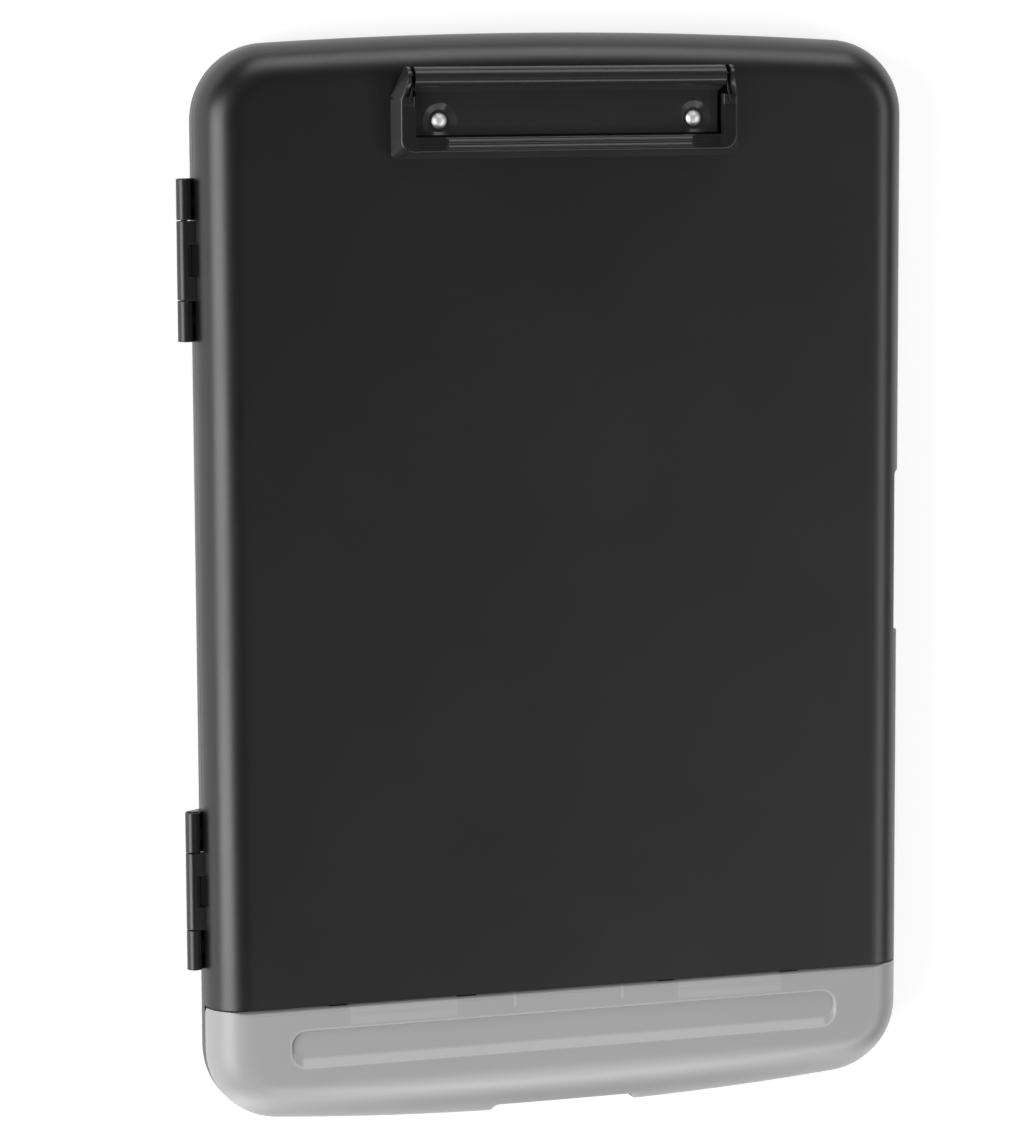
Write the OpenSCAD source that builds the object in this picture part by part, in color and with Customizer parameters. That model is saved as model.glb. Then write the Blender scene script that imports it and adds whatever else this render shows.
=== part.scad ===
// Storage clipboard box: a shallow tray with a hinged lid that carries a spring clip,
// and a hinged door over the pen compartment at its lower end.
// Millimetres. X runs across the case, Y up the page towards the clip, Z out of the
// writing face. The origin is the centre of the face that the case lies on.

/* [Case] */
// Width of the case across its straight sides
case_w = 234; // [210:1:270]
// Length of the case between the crowns of its bowed ends
case_l = 346; // [330:1:400]
// Thickness of the closed case
case_h = 25; // [24:0.5:32]
// Height of the tray's rim
rim_z = 12; // [10.5:0.5:13]
// Radius of the four corners in plan
corner_r = 24; // [20:1:30]
// Rise of the bowed top end between its two corners
top_bow = 2.7; // [1.5:0.1:6]
// Rise of the bowed lower end between its two corners
low_bow = 4; // [1.5:0.1:6]
// Wall thickness of the mouldings
wall = 2; // [1.7:0.1:2.4]
// Rounding of the tray's bottom edge
tray_round = 9; // [6:0.5:10]
// Rounding of the covers' top edge
cover_round = 12.5; // [10:0.5:12.5]
// Gap between the tray's rim and the covers
parting_gap = 0.3; // [0.2:0.05:0.5]

/* [Finger notches] */
// Length of the notch in the right side, at the lid's catch
side_notch_l = 53; // [40:1:70]
// Length of the notch in the lower end, at the pen door's catch
end_notch_l = 50; // [40:1:70]
// How far the end notch lies from the case's centre line
end_notch_x = 1; // [-10:0.5:10]
// Depth of both notches
notch_depth = 3.5; // [1:0.1:4]
// Run of the slanted ends of the notches
notch_slant = 1.6; // [1:0.1:3]

/* [Catches] */
// Width of each snap tab
tab_w = 16; // [10:1:24]
// Thickness of each snap tab
tab_t = 1.3; // [1:0.1:2]
// Height of each snap tab above the rim
tab_rise = 4.5; // [3.5:0.1:6]
// Radius of the bead along a snap tab
bead_r = 0.22; // [0.1:0.01:0.25]
// Distance of the bead below the top of its tab
bead_down = 1.4; // [1:0.1:2]
// Clearance around the bead in its groove
bead_gap = 0.15; // [0.1:0.01:0.2]
// Clearance between a snap tab and the cover that it catches
tab_gap = 0.3; // [0.3:0.05:0.5]

/* [Lid hinges] */
// Distance of the upper hinge's middle below the crown of the top end
upper_hinge_y = 69.3; // [60:0.1:90]
// Distance of the lower hinge's middle above the crown of the lower end
lower_hinge_y = 78.7; // [72:0.1:90]
// Radius of the hinge barrels
barrel_r = 2.4; // [2:0.1:2.8]
// Distance of the hinge axis outside the case's side
barrel_out = 3; // [2.9:0.1:3.6]
// Length of the tray's knuckle at each end of a hinge
end_knuckle_l = 12.8; // [11:0.1:15]
// Length of the lid's knuckle in the middle of a hinge
mid_knuckle_l = 24.2; // [20:0.1:30]
// Gap between neighbouring knuckles
knuckle_gap = 0.3; // [0.2:0.05:0.5]
// Length of the outer arm of an end knuckle
outer_arm_l = 4.9; // [3:0.1:5]
// Length of the inner arm of an end knuckle
inner_arm_l = 3.6; // [3:0.1:5]
// Length of the two arms of a middle knuckle
mid_arm_l = 7.2; // [5:0.1:9]
// How far an arm's gusset reaches up or down the wall from the hinge axis
gusset_h = 5.6; // [4:0.1:7]
// Radius of the hinge pins
hinge_pin_r = 1; // [0.7:0.05:1.3]
// Radial clearance of a pin in its knuckles
pin_fit = 0.05; // [0.03:0.01:0.1]

/* [Pen compartment] */
// Length of the pen door from its hinge edge to the crown of the lower end
door_l = 41.2; // [36:0.1:60]
// Gap between the lid's edge and the pen door
door_gap = 0.5; // [0.4:0.05:0.8]
// Radius of the door's rolled hinge edge
roll_r = 3; // [2.8:0.1:3.4]
// Distance of a door knuckle's inner end from the centre line
door_knuckle_x = 37.3; // [30:0.1:45]
// Length of a door knuckle
door_knuckle_l = 35.6; // [20:0.1:38]
// Length of each lug of the tray beside a door knuckle
lug_l = 6; // [4:0.1:8]
// Radius of the lugs' eyes
lug_r = 2; // [1.8:0.05:2.1]
// Thickness of the posts that carry the lugs' eyes
lug_post_t = 1.8; // [1.4:0.1:2]
// Depth of a post's foot on the tray's floor
lug_foot_t = 4; // [3:0.1:6]
// Clearance between a lug and the door around it
lug_gap = 0.3; // [0.3:0.05:0.4]
// Radius of the door's hinge pins
door_pin_r = 0.8; // [0.6:0.05:1]
// Thickness of the divider wall between the compartments
divider_t = 1.8; // [1.4:0.1:2.4]
// Clearance of the divider below the lid and behind the door's roll
divider_gap = 0.4; // [0.3:0.05:0.6]
// Distance of each small rib under the door's hinge edge from the centre line
rib_x = 18.2; // [10:0.1:28]
// Thickness of the small ribs
rib_t = 0.9; // [0.6:0.1:1.5]
// Length of the pen groove
groove_l = 184.4; // [120:0.1:190]
// Width of the pen groove
groove_w = 12; // [10:0.1:14]
// Depth of the pen groove
groove_depth = 0.9; // [0.5:0.1:1]
// Radius of the groove's corners
groove_r = 4; // [3:0.1:4.8]
// Width of the groove's sloped lower side
groove_slope = 3; // [2:0.1:4]
// Distance of the groove from the door's hinge edge
groove_y = 7.2; // [6.5:0.1:9]

/* [Clip plate] */
// Distance of the clip's pivot axis below the crown of the top end
pivot_y = 13.8; // [13.5:0.1:40]
// Length of the plate's rolled barrel
plate_l = 102; // [96:0.5:104]
// Distance of the plate's flat ends in from the ends of the barrel
flat_in = 1.3; // [1.2:0.1:3]
// Outer radius of the plate's rolled barrel
roll_out_r = 3.9; // [3.6:0.1:4.4]
// Gap between the barrel and the lid
roll_gap = 0.1; // [0.05:0.05:0.3]
// Thickness of the plate's sheet steel
sheet_t = 1; // [0.8:0.05:1.2]
// Distance of the plate's front edge from the pivot axis
plate_reach = 17.6; // [16:0.1:20]
// Distance of the rivets from the pivot axis
rivet_reach = 13.2; // [12:0.1:13.5]
// Distance of each rivet in from the end of the barrel
rivet_in = 9.1; // [8:0.1:20]
// Radius of the dish around a rivet, at the plate's top
dish_r = 5.1; // [4.6:0.1:5.3]
// Depth of the dish around a rivet
dish_depth = 1; // [0.6:0.05:1.2]
// Radius of a rivet's shank
rivet_r = 1.6; // [1.2:0.05:1.8]
// Radius of a rivet's head
rivet_head_r = 2.5; // [2.2:0.05:2.9]
// Height of a rivet's head
rivet_head_h = 1.2; // [0.8:0.05:1.4]
// Radius of the washer under the lid
washer_r = 4.2; // [3.5:0.1:6]
// Thickness of the washer
washer_t = 0.8; // [0.6:0.05:1.2]
// Radius of a rivet's formed tail
rivet_tail_r = 2.3; // [2:0.05:2.8]
// Height of a rivet's formed tail
rivet_tail_h = 0.9; // [0.6:0.05:1.2]

/* [Clip jaw] */
// Distance from the barrel's end to the jaw's side face where it meets the paper
jaw_side = 6.3; // [6:0.1:8]
// Distance of the jaw's front edge from the pivot axis
jaw_reach = 25; // [24:0.1:28]
// Height of the jaw's rim above the lid
jaw_h = 5.3; // [4.8:0.1:6.5]
// How far the jaw's outer faces lean inwards
jaw_lean = 2.1; // [1.5:0.1:2.6]
// Width of the jaw's side arms, seen from above
arm_w = 4.6; // [4:0.1:5]
// Depth of the jaw's front bar, seen from above
bar_w = 4.7; // [4:0.1:5]
// Distance of the arms' back ends from the pivot axis
arm_back = 5.6; // [5:0.1:6.5]
// Depth of the lip around the jaw's open middle
jaw_lip_h = 2.5; // [1.5:0.1:3]
// Radius of the jaw's front corners at its rim
jaw_corner_r = 4.4; // [2:0.1:4.6]
// Radius of the jaw's front corners at its foot
jaw_foot_r = 2; // [1.5:0.1:4]
// Gap between the jaw's gripping edge and the lid
jaw_gap = 0.3; // [0.2:0.05:0.5]
// Radius of the ears around the pivot
ear_r = 3.6; // [3.2:0.1:3.6]
// Distance from the barrel's end to the middle of an ear
ear_out = 2; // [1.9:0.1:3.6]
// Radius of the pivot rod
rod_r = 1.3; // [1:0.05:1.5]
// How far the rod's ends stand out past the ears' middles
rod_out = 0.8; // [0.6:0.1:2.5]
// Radius of the two beads pressed along the front bar
bar_bead_r = 0.55; // [0.4:0.05:0.7]
// Distance of the first bead from the bar's back edge
bar_bead_y = 1.2; // [1:0.1:1.5]
// Distance from one bead to the other
bar_bead_step = 1.9; // [1.5:0.1:2.2]
// Distance of the beads' ends from the corner grips
bar_bead_in = 0.6; // [0.2:0.1:2]
// Width of the finger scoop at the middle of the front bar
scoop_w = 29; // [20:0.5:40]
// Depth of the finger scoop in the bar's top
scoop_depth = 0.9; // [0.5:0.05:1.2]

/* [Corner grips] */
// Length of a grip along the front bar
grip_bar_l = 14.3; // [11:0.1:20]
// Length of a grip along the side arm, measured from the front bar's inner edge
grip_arm_l = 9.3; // [6:0.1:10]
// Thickness of a grip
grip_t = 0.7; // [0.5:0.05:1]
// Width of the jaw's bare rim outside a grip
grip_margin = 0.5; // [0.3:0.05:0.8]
// Height of the ribs at the grip's inner end
grip_rib_h = 0.35; // [0.2:0.05:0.5]
// Length of the ribs at the grip's inner end
grip_rib_l = 8; // [5:0.1:9]

/* [Clip springs] */
// Radius of the spring wire
wire_r = 0.5; // [0.4:0.05:0.55]
// Number of turns of each spring
spring_turns = 6; // [4:1:8]
// Rise of the spring from one turn to the next
spring_pitch = 1.25; // [1.2:0.05:1.6]
// How far the end of a spring's leg is bent outwards
leg_splay = 1.2; // [0:0.1:1.5]

/* [Hidden] */

// Plan outline: straight sides, bowed ends and round corners that are tangent to both
half_w = case_w / 2;
half_l = case_l / 2;
corner_x = half_w - corner_r;
top_r = corner_r + (corner_x * corner_x + top_bow * top_bow) / (2 * top_bow);
low_r = corner_r + (corner_x * corner_x + low_bow * low_bow) / (2 * low_bow);
top_corner_y = half_l - corner_r - top_bow;
low_corner_y = half_l - corner_r - low_bow;
sweep_lap = 2;
through = 1;
far = 200;
hair = 0.1;

// Catches: how far a bead stops short of its tab's ends, and a tab's web below the rim
bead_in = 1;
web_down = 1;

// Heights of the two mouldings
cover_z = rim_z + parting_gap;
cover_h = case_h - cover_z;
cover_edge_r = min(cover_round, cover_h);

// Hinge of the lid, along the left side
hinge_x = -half_w - barrel_out;
hinge_z = rim_z + parting_gap / 2;
hinge_l = 2 * end_knuckle_l + mid_knuckle_l + 2 * knuckle_gap;
hinge_ys = [half_l - upper_hinge_y, lower_hinge_y - half_l];
side_notch_y = (hinge_ys[0] + hinge_ys[1]) / 2;

// Pen door and its hinge
door_edge_y = -half_l + door_l;
lid_edge_y = door_edge_y + door_gap;
door_axis_y = door_edge_y - roll_r;
door_axis_z = case_h - roll_r;
heel_gap = 0.1;
lug_neck = 2;
door_heel_r = door_axis_z - cover_z - heel_gap;
divider_y = door_edge_y + divider_gap;
door_pin_x = door_knuckle_x - knuckle_gap - lug_l;
door_pin_l = door_knuckle_l + 2 * (knuckle_gap + lug_l);
groove_top_y = door_edge_y - groove_y;

// Clip: the pivot axis, the fixed plate's levels and the jaw's
clip_y = half_l - pivot_y;
clip_z = case_h + roll_out_r + roll_gap;
plate_z = case_h + dish_depth;
plate_top_z = plate_z + sheet_t;
rivet_x = plate_l / 2 - rivet_in;
rivet_y = clip_y - rivet_reach;
flat_half_l = plate_l / 2 - flat_in;
jaw_y = clip_y - jaw_reach;
jaw_z = case_h + jaw_gap;
jaw_top_z = case_h + jaw_h;
bar_back_y = jaw_y + jaw_lean + bar_w;
jaw_half_w = plate_l / 2 + jaw_side;
arm_out_x = jaw_half_w - jaw_lean;
arm_in_x = arm_out_x - arm_w;
arm_back_y = clip_y - arm_back;
arm_root = 1;
ear_x = plate_l / 2 + ear_out;
bead_half_l = arm_out_x - grip_bar_l - bar_bead_in;
bead_ys = [bar_back_y - bar_bead_y, bar_back_y - bar_bead_y - bar_bead_step];
rivet_clear = 0.05;
tail_taper = 0.5;
roll_lap = 1.2;
slice = 0.01;

// Corner grips in their seats, and the springs around the rod
grip_seat = sheet_t / 2;
grip_gap = 0.05;
grip_ribs = 4;
grip_top_z = jaw_top_z - grip_seat + grip_t;
spring_gap = 0.2;
leg_gap = 1;
leg_reach = clip_y - bar_back_y - grip_arm_l - leg_gap;

// ---- shapes shared by several pieces ----

// Half of the case's edge in section, from a corner's centre out to the wall
module edge_section(reach, height, edge_r) {
    square([reach - edge_r, height]);
    translate([reach - edge_r, 0]) square([edge_r, height - edge_r]);
    translate([reach - edge_r, height - edge_r]) intersection() {
        circle(edge_r, $fn = 64);
        square(edge_r);
    }
}

// Moves in two steps, so that a long distance keeps all its digits
module shift(x, y) {
    coarse = [round(x * 100) / 100, round(y * 100) / 100, 0];
    translate(coarse) translate([x, y, 0] - coarse) children();
}

// All that lies on one side of the plane where a bowed end meets its right corner
module seam_side(corner_y, sweep, from_x) {
    translate([corner_x, corner_y, 0]) rotate([0, 0, -sweep])
        translate([from_x, -corner_r, -case_h]) cube([far, far, 3 * case_h]);
}

// Bowed end of the case, with the two corners beside it
module bowed_end(reach, bow_r, corner_y, height, edge_r) {
    sweep = asin(corner_x / (bow_r - corner_r));
    for (side = [0, 1]) mirror([side, 0, 0]) {
        difference() {
            translate([corner_x, corner_y, 0]) rotate_extrude(angle = 90, $fn = 96)
                edge_section(reach, height, edge_r);
            seam_side(corner_y, sweep, -far);
        }
        difference() {
            shift(0, half_l - bow_r) mirror([1, 0, 0]) rotate([0, 0, 90])
                rotate_extrude(angle = ceil(sweep) + sweep_lap, $fn = 720)
                    shift(bow_r - corner_r, 0) edge_section(reach, height, edge_r);
            seam_side(corner_y, sweep, 0);
        }
    }
}

// Solid of the case's outline moved in by inset, with its top edge rounded
module rounded_block(inset, height, edge_r) {
    reach = corner_r - inset;
    lap = (reach - edge_r) / 2;
    bowed_end(reach, top_r, top_corner_y, height, edge_r);
    mirror([0, 1, 0]) bowed_end(reach, low_r, low_corner_y, height, edge_r);
    for (side = [0, 1]) mirror([side, 0, 0]) translate([corner_x, top_corner_y, 0])
        rotate([90, 0, 0]) linear_extrude(top_corner_y + low_corner_y)
            edge_section(reach, height, edge_r);
    translate([-corner_x - lap, -low_corner_y - lap, 0])
        cube([2 * (corner_x + lap), top_corner_y + low_corner_y + 2 * lap, height]);
    for (end = [[0, top_corner_y], [1, low_corner_y]]) mirror([0, end[0], 0])
        translate([-corner_x / 2, 0, 0])
            cube([corner_x, half_l - corner_r + lap, height]);
}

module tray_block(inset, floor_t) {
    translate([0, 0, rim_z + (inset > 0 ? through : 0)]) mirror([0, 0, 1])
        rounded_block(inset, rim_z - floor_t + (inset > 0 ? through : 0), tray_round - inset);
}

module cover_block(inset, drop) {
    extra = inset > 0 ? through : 0;
    translate([0, 0, cover_z - extra])
        rounded_block(inset, cover_h - drop + extra, cover_edge_r - inset);
}

// Everything above the line y, or below it, at the height of the covers
module above(y) {
    translate([-far, y, 0]) cube([2 * far, 2 * far, case_h + through]);
}

module below(y) {
    translate([-far, y - 2 * far, 0]) cube([2 * far, 2 * far, case_h + through]);
}

// Prism that cuts a finger notch, with its floor at x = 0 and its mouth towards +X
module notch_cut(length) {
    floor_half = length / 2 - notch_slant;
    mouth_half = length / 2 + notch_slant;
    translate([0, 0, -through]) linear_extrude(case_h + 2 * through)
        polygon([[0, -floor_half], [2 * notch_depth, -mouth_half],
                 [2 * notch_depth, mouth_half], [0, floor_half]]);
}

module side_notch() translate([half_w - notch_depth, side_notch_y, 0]) children();
module end_notch() translate([end_notch_x, notch_depth - half_l, 0]) rotate([0, 0, -90]) children();

// Block behind a notch that keeps the wall's thickness there
module notch_backing(length) {
    translate([-wall, -length / 2 - wall, 0])
        cube([notch_depth + 2 * wall, length + 2 * wall, case_h]);
}

// Upstanding snap tab of the tray, behind a notch
module snap_tab() {
    root_z = wall;
    translate([-wall - tab_gap - tab_t, -tab_w / 2, root_z])
        cube([tab_t, tab_w, rim_z + tab_rise - root_z]);
    translate([-wall - tab_gap - tab_t, -tab_w / 2, root_z])
        cube([tab_t + tab_gap + wall / 2, tab_w, rim_z - root_z - web_down]);
    translate([-wall - tab_gap, 0, rim_z + tab_rise - bead_down]) rotate([90, 0, 0])
        cylinder(r = bead_r, h = tab_w - 2 * bead_in, center = true, $fn = 24);
}

// Groove in the cover that the tab's bead snaps into
module bead_groove() {
    translate([-wall, 0, rim_z + tab_rise - bead_down]) rotate([90, 0, 0])
        cylinder(r = bead_r + bead_gap, h = tab_w, center = true, $fn = 24);
}

// Arm from a hinge barrel to the wall, below the axis; mirrored for the lid
module hinge_arm(from_y, length, way, wall_x) {
    translate([0, from_y + length, hinge_z]) rotate([90, 0, 0]) linear_extrude(length)
        polygon([[hinge_x, 0],
                 [hinge_x - barrel_r * cos(45), -way * barrel_r * sin(45)],
                 [wall_x, -way * gusset_h],
                 [wall_x, -way * parting_gap / 2],
                 [hinge_x, -way * parting_gap / 2]]);
}

module along_y(y, x, z) translate([x, y, z]) rotate([90, 0, 0]) children();
module along_x(x, y, z) translate([x, y, z]) rotate([0, 90, 0]) children();

// ---- tray ----

module tray_hinge_side(y) {
    for (side = [-1, 1]) {
        middle = y + side * (mid_knuckle_l / 2 + knuckle_gap + end_knuckle_l / 2);
        along_y(middle, hinge_x, hinge_z)
            cylinder(r = barrel_r, h = end_knuckle_l, center = true, $fn = 48);
        outer = side > 0 ? middle + end_knuckle_l / 2 - outer_arm_l : middle - end_knuckle_l / 2;
        inner = side > 0 ? middle - end_knuckle_l / 2 : middle + end_knuckle_l / 2 - inner_arm_l;
        hinge_arm(outer, outer_arm_l, 1, -half_w + wall / 2);
        hinge_arm(inner, inner_arm_l, 1, -half_w + wall / 2);
    }
}

// Lug that carries one end of a pen door pin, from the foot of the divider
module door_lug(x) {
    along_x(x, door_axis_y, door_axis_z) cylinder(r = lug_r, h = lug_l, $fn = 40);
    drop = door_axis_z - wall / 2;
    foot = divider_y - door_axis_y + divider_t / 2;
    translate([x, door_axis_y, door_axis_z]) rotate([90, 0, 90]) linear_extrude(lug_l)
        polygon([[-lug_post_t / 2, 0], [-lug_post_t / 2, -roll_r - lug_neck],
                 [foot - lug_foot_t, -drop], [foot, -drop], [foot, -roll_r - lug_neck],
                 [lug_post_t / 2, -roll_r - 2 * lug_gap], [lug_post_t / 2, 0]]);
}

module divider() {
    intersection() {
        translate([-far, divider_y, wall / 2]) cube([2 * far, divider_t, case_h]);
        union() {
            cover_block(wall + divider_gap, wall + divider_gap);
            translate([-half_w + wall / 2, -half_l, 0])
                cube([case_w - wall, case_l, rim_z]);
        }
    }
}

module base_tray() color([0.10, 0.10, 0.10]) difference() {
    union() {
        difference() {
            tray_block(0, 0);
            difference() {
                tray_block(wall, wall);
                side_notch() notch_backing(side_notch_l);
                end_notch() notch_backing(end_notch_l);
            }
        }
        divider();
        side_notch() snap_tab();
        end_notch() snap_tab();
        for (y = hinge_ys) tray_hinge_side(y);
        for (side = [0, 1]) mirror([side, 0, 0])
            for (x = [door_pin_x, door_pin_x + lug_l + door_knuckle_l + 2 * knuckle_gap])
                door_lug(x);
    }
    side_notch() notch_cut(side_notch_l);
    end_notch() notch_cut(end_notch_l);
    for (y = hinge_ys) along_y(y, hinge_x, hinge_z)
        cylinder(r = hinge_pin_r + pin_fit, h = hinge_l + 2 * through, center = true, $fn = 32);
    for (side = [0, 1]) mirror([side, 0, 0])
        along_x(door_pin_x - through, door_axis_y, door_axis_z)
            cylinder(r = door_pin_r + pin_fit, h = door_pin_l + 2 * through, $fn = 32);
}

// ---- lid ----

module lid_knuckle(y) {
    along_y(y, hinge_x, hinge_z)
        cylinder(r = barrel_r, h = mid_knuckle_l, center = true, $fn = 48);
    for (from = [y - mid_knuckle_l / 2, y + mid_knuckle_l / 2 - mid_arm_l])
        hinge_arm(from, mid_arm_l, -1, -half_w + wall / 2);
}

module lid_cover() color([0.16, 0.16, 0.16]) difference() {
    union() {
        intersection() {
            difference() {
                cover_block(0, 0);
                difference() {
                    cover_block(wall, wall);
                    side_notch() notch_backing(side_notch_l);
                }
            }
            above(lid_edge_y);
        }
        for (y = hinge_ys) lid_knuckle(y);
    }
    side_notch() notch_cut(side_notch_l);
    side_notch() bead_groove();
    for (y = hinge_ys) along_y(y, hinge_x, hinge_z)
        cylinder(r = hinge_pin_r + pin_fit, h = hinge_l + 2 * through, center = true, $fn = 32);
    for (side = [-1, 1]) translate([side * rivet_x, rivet_y, case_h - wall - through])
        cylinder(r = rivet_r + rivet_clear, h = wall + 2 * through, $fn = 32);
}

// ---- pen door ----

// What the door's hinge edge must leave free so that it turns past the lid and the rim
module door_heel_cut() {
    translate([-far, door_axis_y, door_axis_z]) difference() {
        cube([2 * far, 2 * roll_r, 2 * roll_r]);
        along_x(-through, 0, 0) cylinder(r = roll_r, h = 2 * far + 2 * through, $fn = 64);
    }
    translate([-far, door_axis_y, cover_z - through]) difference() {
        cube([2 * far, 2 * roll_r, door_axis_z - cover_z + through]);
        along_x(-through, 0, door_axis_z - cover_z + through)
            cylinder(r = door_heel_r, h = 2 * far + 2 * through, $fn = 96);
    }
}

module pen_groove() {
    middle = groove_top_y - groove_w / 2;
    intersection() {
        translate([0, middle, case_h - groove_depth]) linear_extrude(2 * groove_depth) {
            square([groove_l - 2 * groove_r, groove_w], center = true);
            square([groove_l, groove_w - 2 * groove_r], center = true);
            for (x = [-1, 1], y = [-1, 1])
                translate([x * (groove_l / 2 - groove_r), y * (groove_w / 2 - groove_r)])
                    circle(groove_r, $fn = 48);
        }
        translate([-far, groove_top_y, case_h]) rotate([90, 0, 90]) linear_extrude(2 * far)
            polygon([[0, groove_depth * 2], [0, -groove_depth],
                     [groove_slope - groove_w, -groove_depth],
                     [-groove_w, 0], [-groove_w, groove_depth * 2]]);
    }
}

module pen_door() color([0.64, 0.64, 0.64]) difference() {
    union() {
        difference() {
            intersection() {
                difference() {
                    cover_block(0, 0);
                    difference() {
                        cover_block(wall, wall);
                        end_notch() notch_backing(end_notch_l);
                    }
                }
                below(door_edge_y);
            }
            door_heel_cut();
            for (side = [0, 1]) mirror([side, 0, 0])
                for (x = [door_pin_x, door_pin_x + lug_l + door_knuckle_l + 2 * knuckle_gap])
                    translate([x - knuckle_gap, door_axis_y, door_axis_z]) {
                        along_x(0, 0, 0)
                            cylinder(r = lug_r + lug_gap, h = lug_l + 2 * knuckle_gap, $fn = 40);
                        translate([0, -lug_r, -far])
                            cube([lug_l + 2 * knuckle_gap, 2 * roll_r, far + lug_r - lug_gap]);
                    }
        }
        for (side = [0, 1]) mirror([side, 0, 0]) {
            along_x(door_knuckle_x, door_axis_y, door_axis_z)
                cylinder(r = roll_r, h = door_knuckle_l, $fn = 64);
            translate([door_knuckle_x, door_axis_y - roll_r - wall / 2, door_axis_z])
                cube([door_knuckle_l, roll_r + wall / 2, roll_r - wall / 2]);
            intersection() {
                translate([rib_x - rib_t / 2, door_axis_y, door_axis_z - rib_t / 2])
                    cube([rib_t, roll_r, roll_r]);
                along_x(0, door_axis_y, door_axis_z) cylinder(r = roll_r - hair, h = far, $fn = 64);
            }
        }
    }
    end_notch() notch_cut(end_notch_l);
    end_notch() bead_groove();
    pen_groove();
    for (side = [0, 1]) mirror([side, 0, 0])
        along_x(door_pin_x - through, door_axis_y, door_axis_z)
            cylinder(r = door_pin_r + pin_fit, h = door_pin_l + 2 * through, $fn = 32);
}

// ---- hinge pins ----

module hinge_pin(y) color([0.75, 0.75, 0.77])
    along_y(y, hinge_x, hinge_z)
        cylinder(r = hinge_pin_r, h = hinge_l - 2 * knuckle_gap, center = true, $fn = 32);

module door_pin(side) color([0.75, 0.75, 0.77])
    mirror([side > 0 ? 0 : 1, 0, 0]) along_x(door_pin_x, door_axis_y, door_axis_z)
        cylinder(r = door_pin_r, h = door_pin_l, $fn = 32);

module upper_hinge_pin() hinge_pin(hinge_ys[0]);
module lower_hinge_pin() hinge_pin(hinge_ys[1]);
module left_pen_door_pin() door_pin(-1);
module right_pen_door_pin() door_pin(1);

// ---- clip: fixed plate, rivets and washers ----

module clip_base_plate() color([0.05, 0.05, 0.05]) difference() {
    union() {
        translate([-plate_l / 2, clip_y, 0]) rotate([90, 0, 90]) linear_extrude(plate_l)
            difference() {
                translate([0, clip_z]) circle(roll_out_r, $fn = 64);
                translate([0, clip_z]) circle(roll_out_r - sheet_t, $fn = 64);
            }
        translate([-flat_half_l, clip_y - plate_reach, plate_z])
            cube([2 * flat_half_l, plate_reach - roll_out_r + roll_lap, sheet_t]);
        for (side = [-1, 1]) translate([side * rivet_x, rivet_y, case_h])
            cylinder(r1 = dish_r - dish_depth, r2 = dish_r, h = dish_depth, $fn = 48);
    }
    for (side = [-1, 1]) translate([side * rivet_x, rivet_y, case_h]) {
        translate([0, 0, sheet_t])
            cylinder(r1 = dish_r - dish_depth, r2 = dish_r + hair, h = dish_depth + hair, $fn = 48);
        translate([0, 0, -through])
            cylinder(r = rivet_r + rivet_clear, h = sheet_t + 2 * through, $fn = 32);
    }
}

module rivet(side) color([0.85, 0.85, 0.87])
    translate([side * rivet_x, rivet_y, case_h + sheet_t]) {
        shank = sheet_t + wall + washer_t;
        head_round = (pow(rivet_head_r, 2) + pow(rivet_head_h, 2)) / (2 * rivet_head_h);
        intersection() {
            translate([0, 0, rivet_head_h - head_round]) sphere(head_round, $fn = 64);
            cylinder(r = rivet_head_r, h = rivet_head_h + through, $fn = 48);
        }
        translate([0, 0, -shank]) cylinder(r = rivet_r, h = shank + hair, $fn = 32);
        translate([0, 0, -shank - rivet_tail_h])
            cylinder(r1 = rivet_tail_r - tail_taper, r2 = rivet_tail_r, h = rivet_tail_h, $fn = 32);
    }

module rivet_washer(side) color([0.75, 0.75, 0.77])
    translate([side * rivet_x, rivet_y, case_h - wall - washer_t]) difference() {
        cylinder(r = washer_r, h = washer_t, $fn = 48);
        translate([0, 0, -through])
            cylinder(r = rivet_r + rivet_clear, h = washer_t + 2 * through, $fn = 32);
    }

module left_rivet() rivet(-1);
module right_rivet() rivet(1);
module left_rivet_washer() rivet_washer(-1);
module right_rivet_washer() rivet_washer(1);

// ---- clip: jaw, rod, springs and grips ----

// Corners of the jaw's plan, moved in by inset; their hull is the plan itself
module jaw_plan_corners(inset, lean, corner) {
    side_x = jaw_half_w - lean - inset;
    front_y = jaw_y + lean + inset;
    r = corner - inset;
    for (x = [-1, 1]) translate([x * (side_x - r), front_y + r]) circle(r, $fn = 32);
    translate([-side_x, arm_back_y - arm_root]) square([2 * side_x, arm_root]);
}

module jaw_frustum(inset, low_z, high_z) hull() {
    translate([0, 0, low_z]) linear_extrude(slice) jaw_plan_corners(inset, 0, jaw_foot_r);
    translate([0, 0, high_z - slice]) linear_extrude(slice)
        jaw_plan_corners(inset, jaw_lean, jaw_corner_r);
}

// Space under the jaw's pressed top, with a short lip left around the open middle
module jaw_hollow() difference() {
    jaw_frustum(sheet_t, jaw_z - through, jaw_top_z - sheet_t);
    translate([-arm_in_x - sheet_t, bar_back_y - sheet_t, jaw_top_z - jaw_lip_h])
        cube([2 * (arm_in_x + sheet_t), far, far]);
}

// Cheek that carries the arm's leaning wall back and in to its ear on the pivot rod
module jaw_cheek() hull() {
    for (edge = [[jaw_half_w, jaw_z], [arm_out_x, jaw_top_z - slice]])
        translate([edge[0] - sheet_t, arm_back_y - arm_root, edge[1]])
            cube([sheet_t, arm_root, slice]);
    along_x(ear_x - sheet_t / 2, clip_y, clip_z) cylinder(r = ear_r, h = sheet_t, $fn = 32);
}

module front_bead(y) along_x(-bead_half_l, y, jaw_top_z)
    cylinder(r = bar_bead_r, h = 2 * bead_half_l, $fn = 24);

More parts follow.
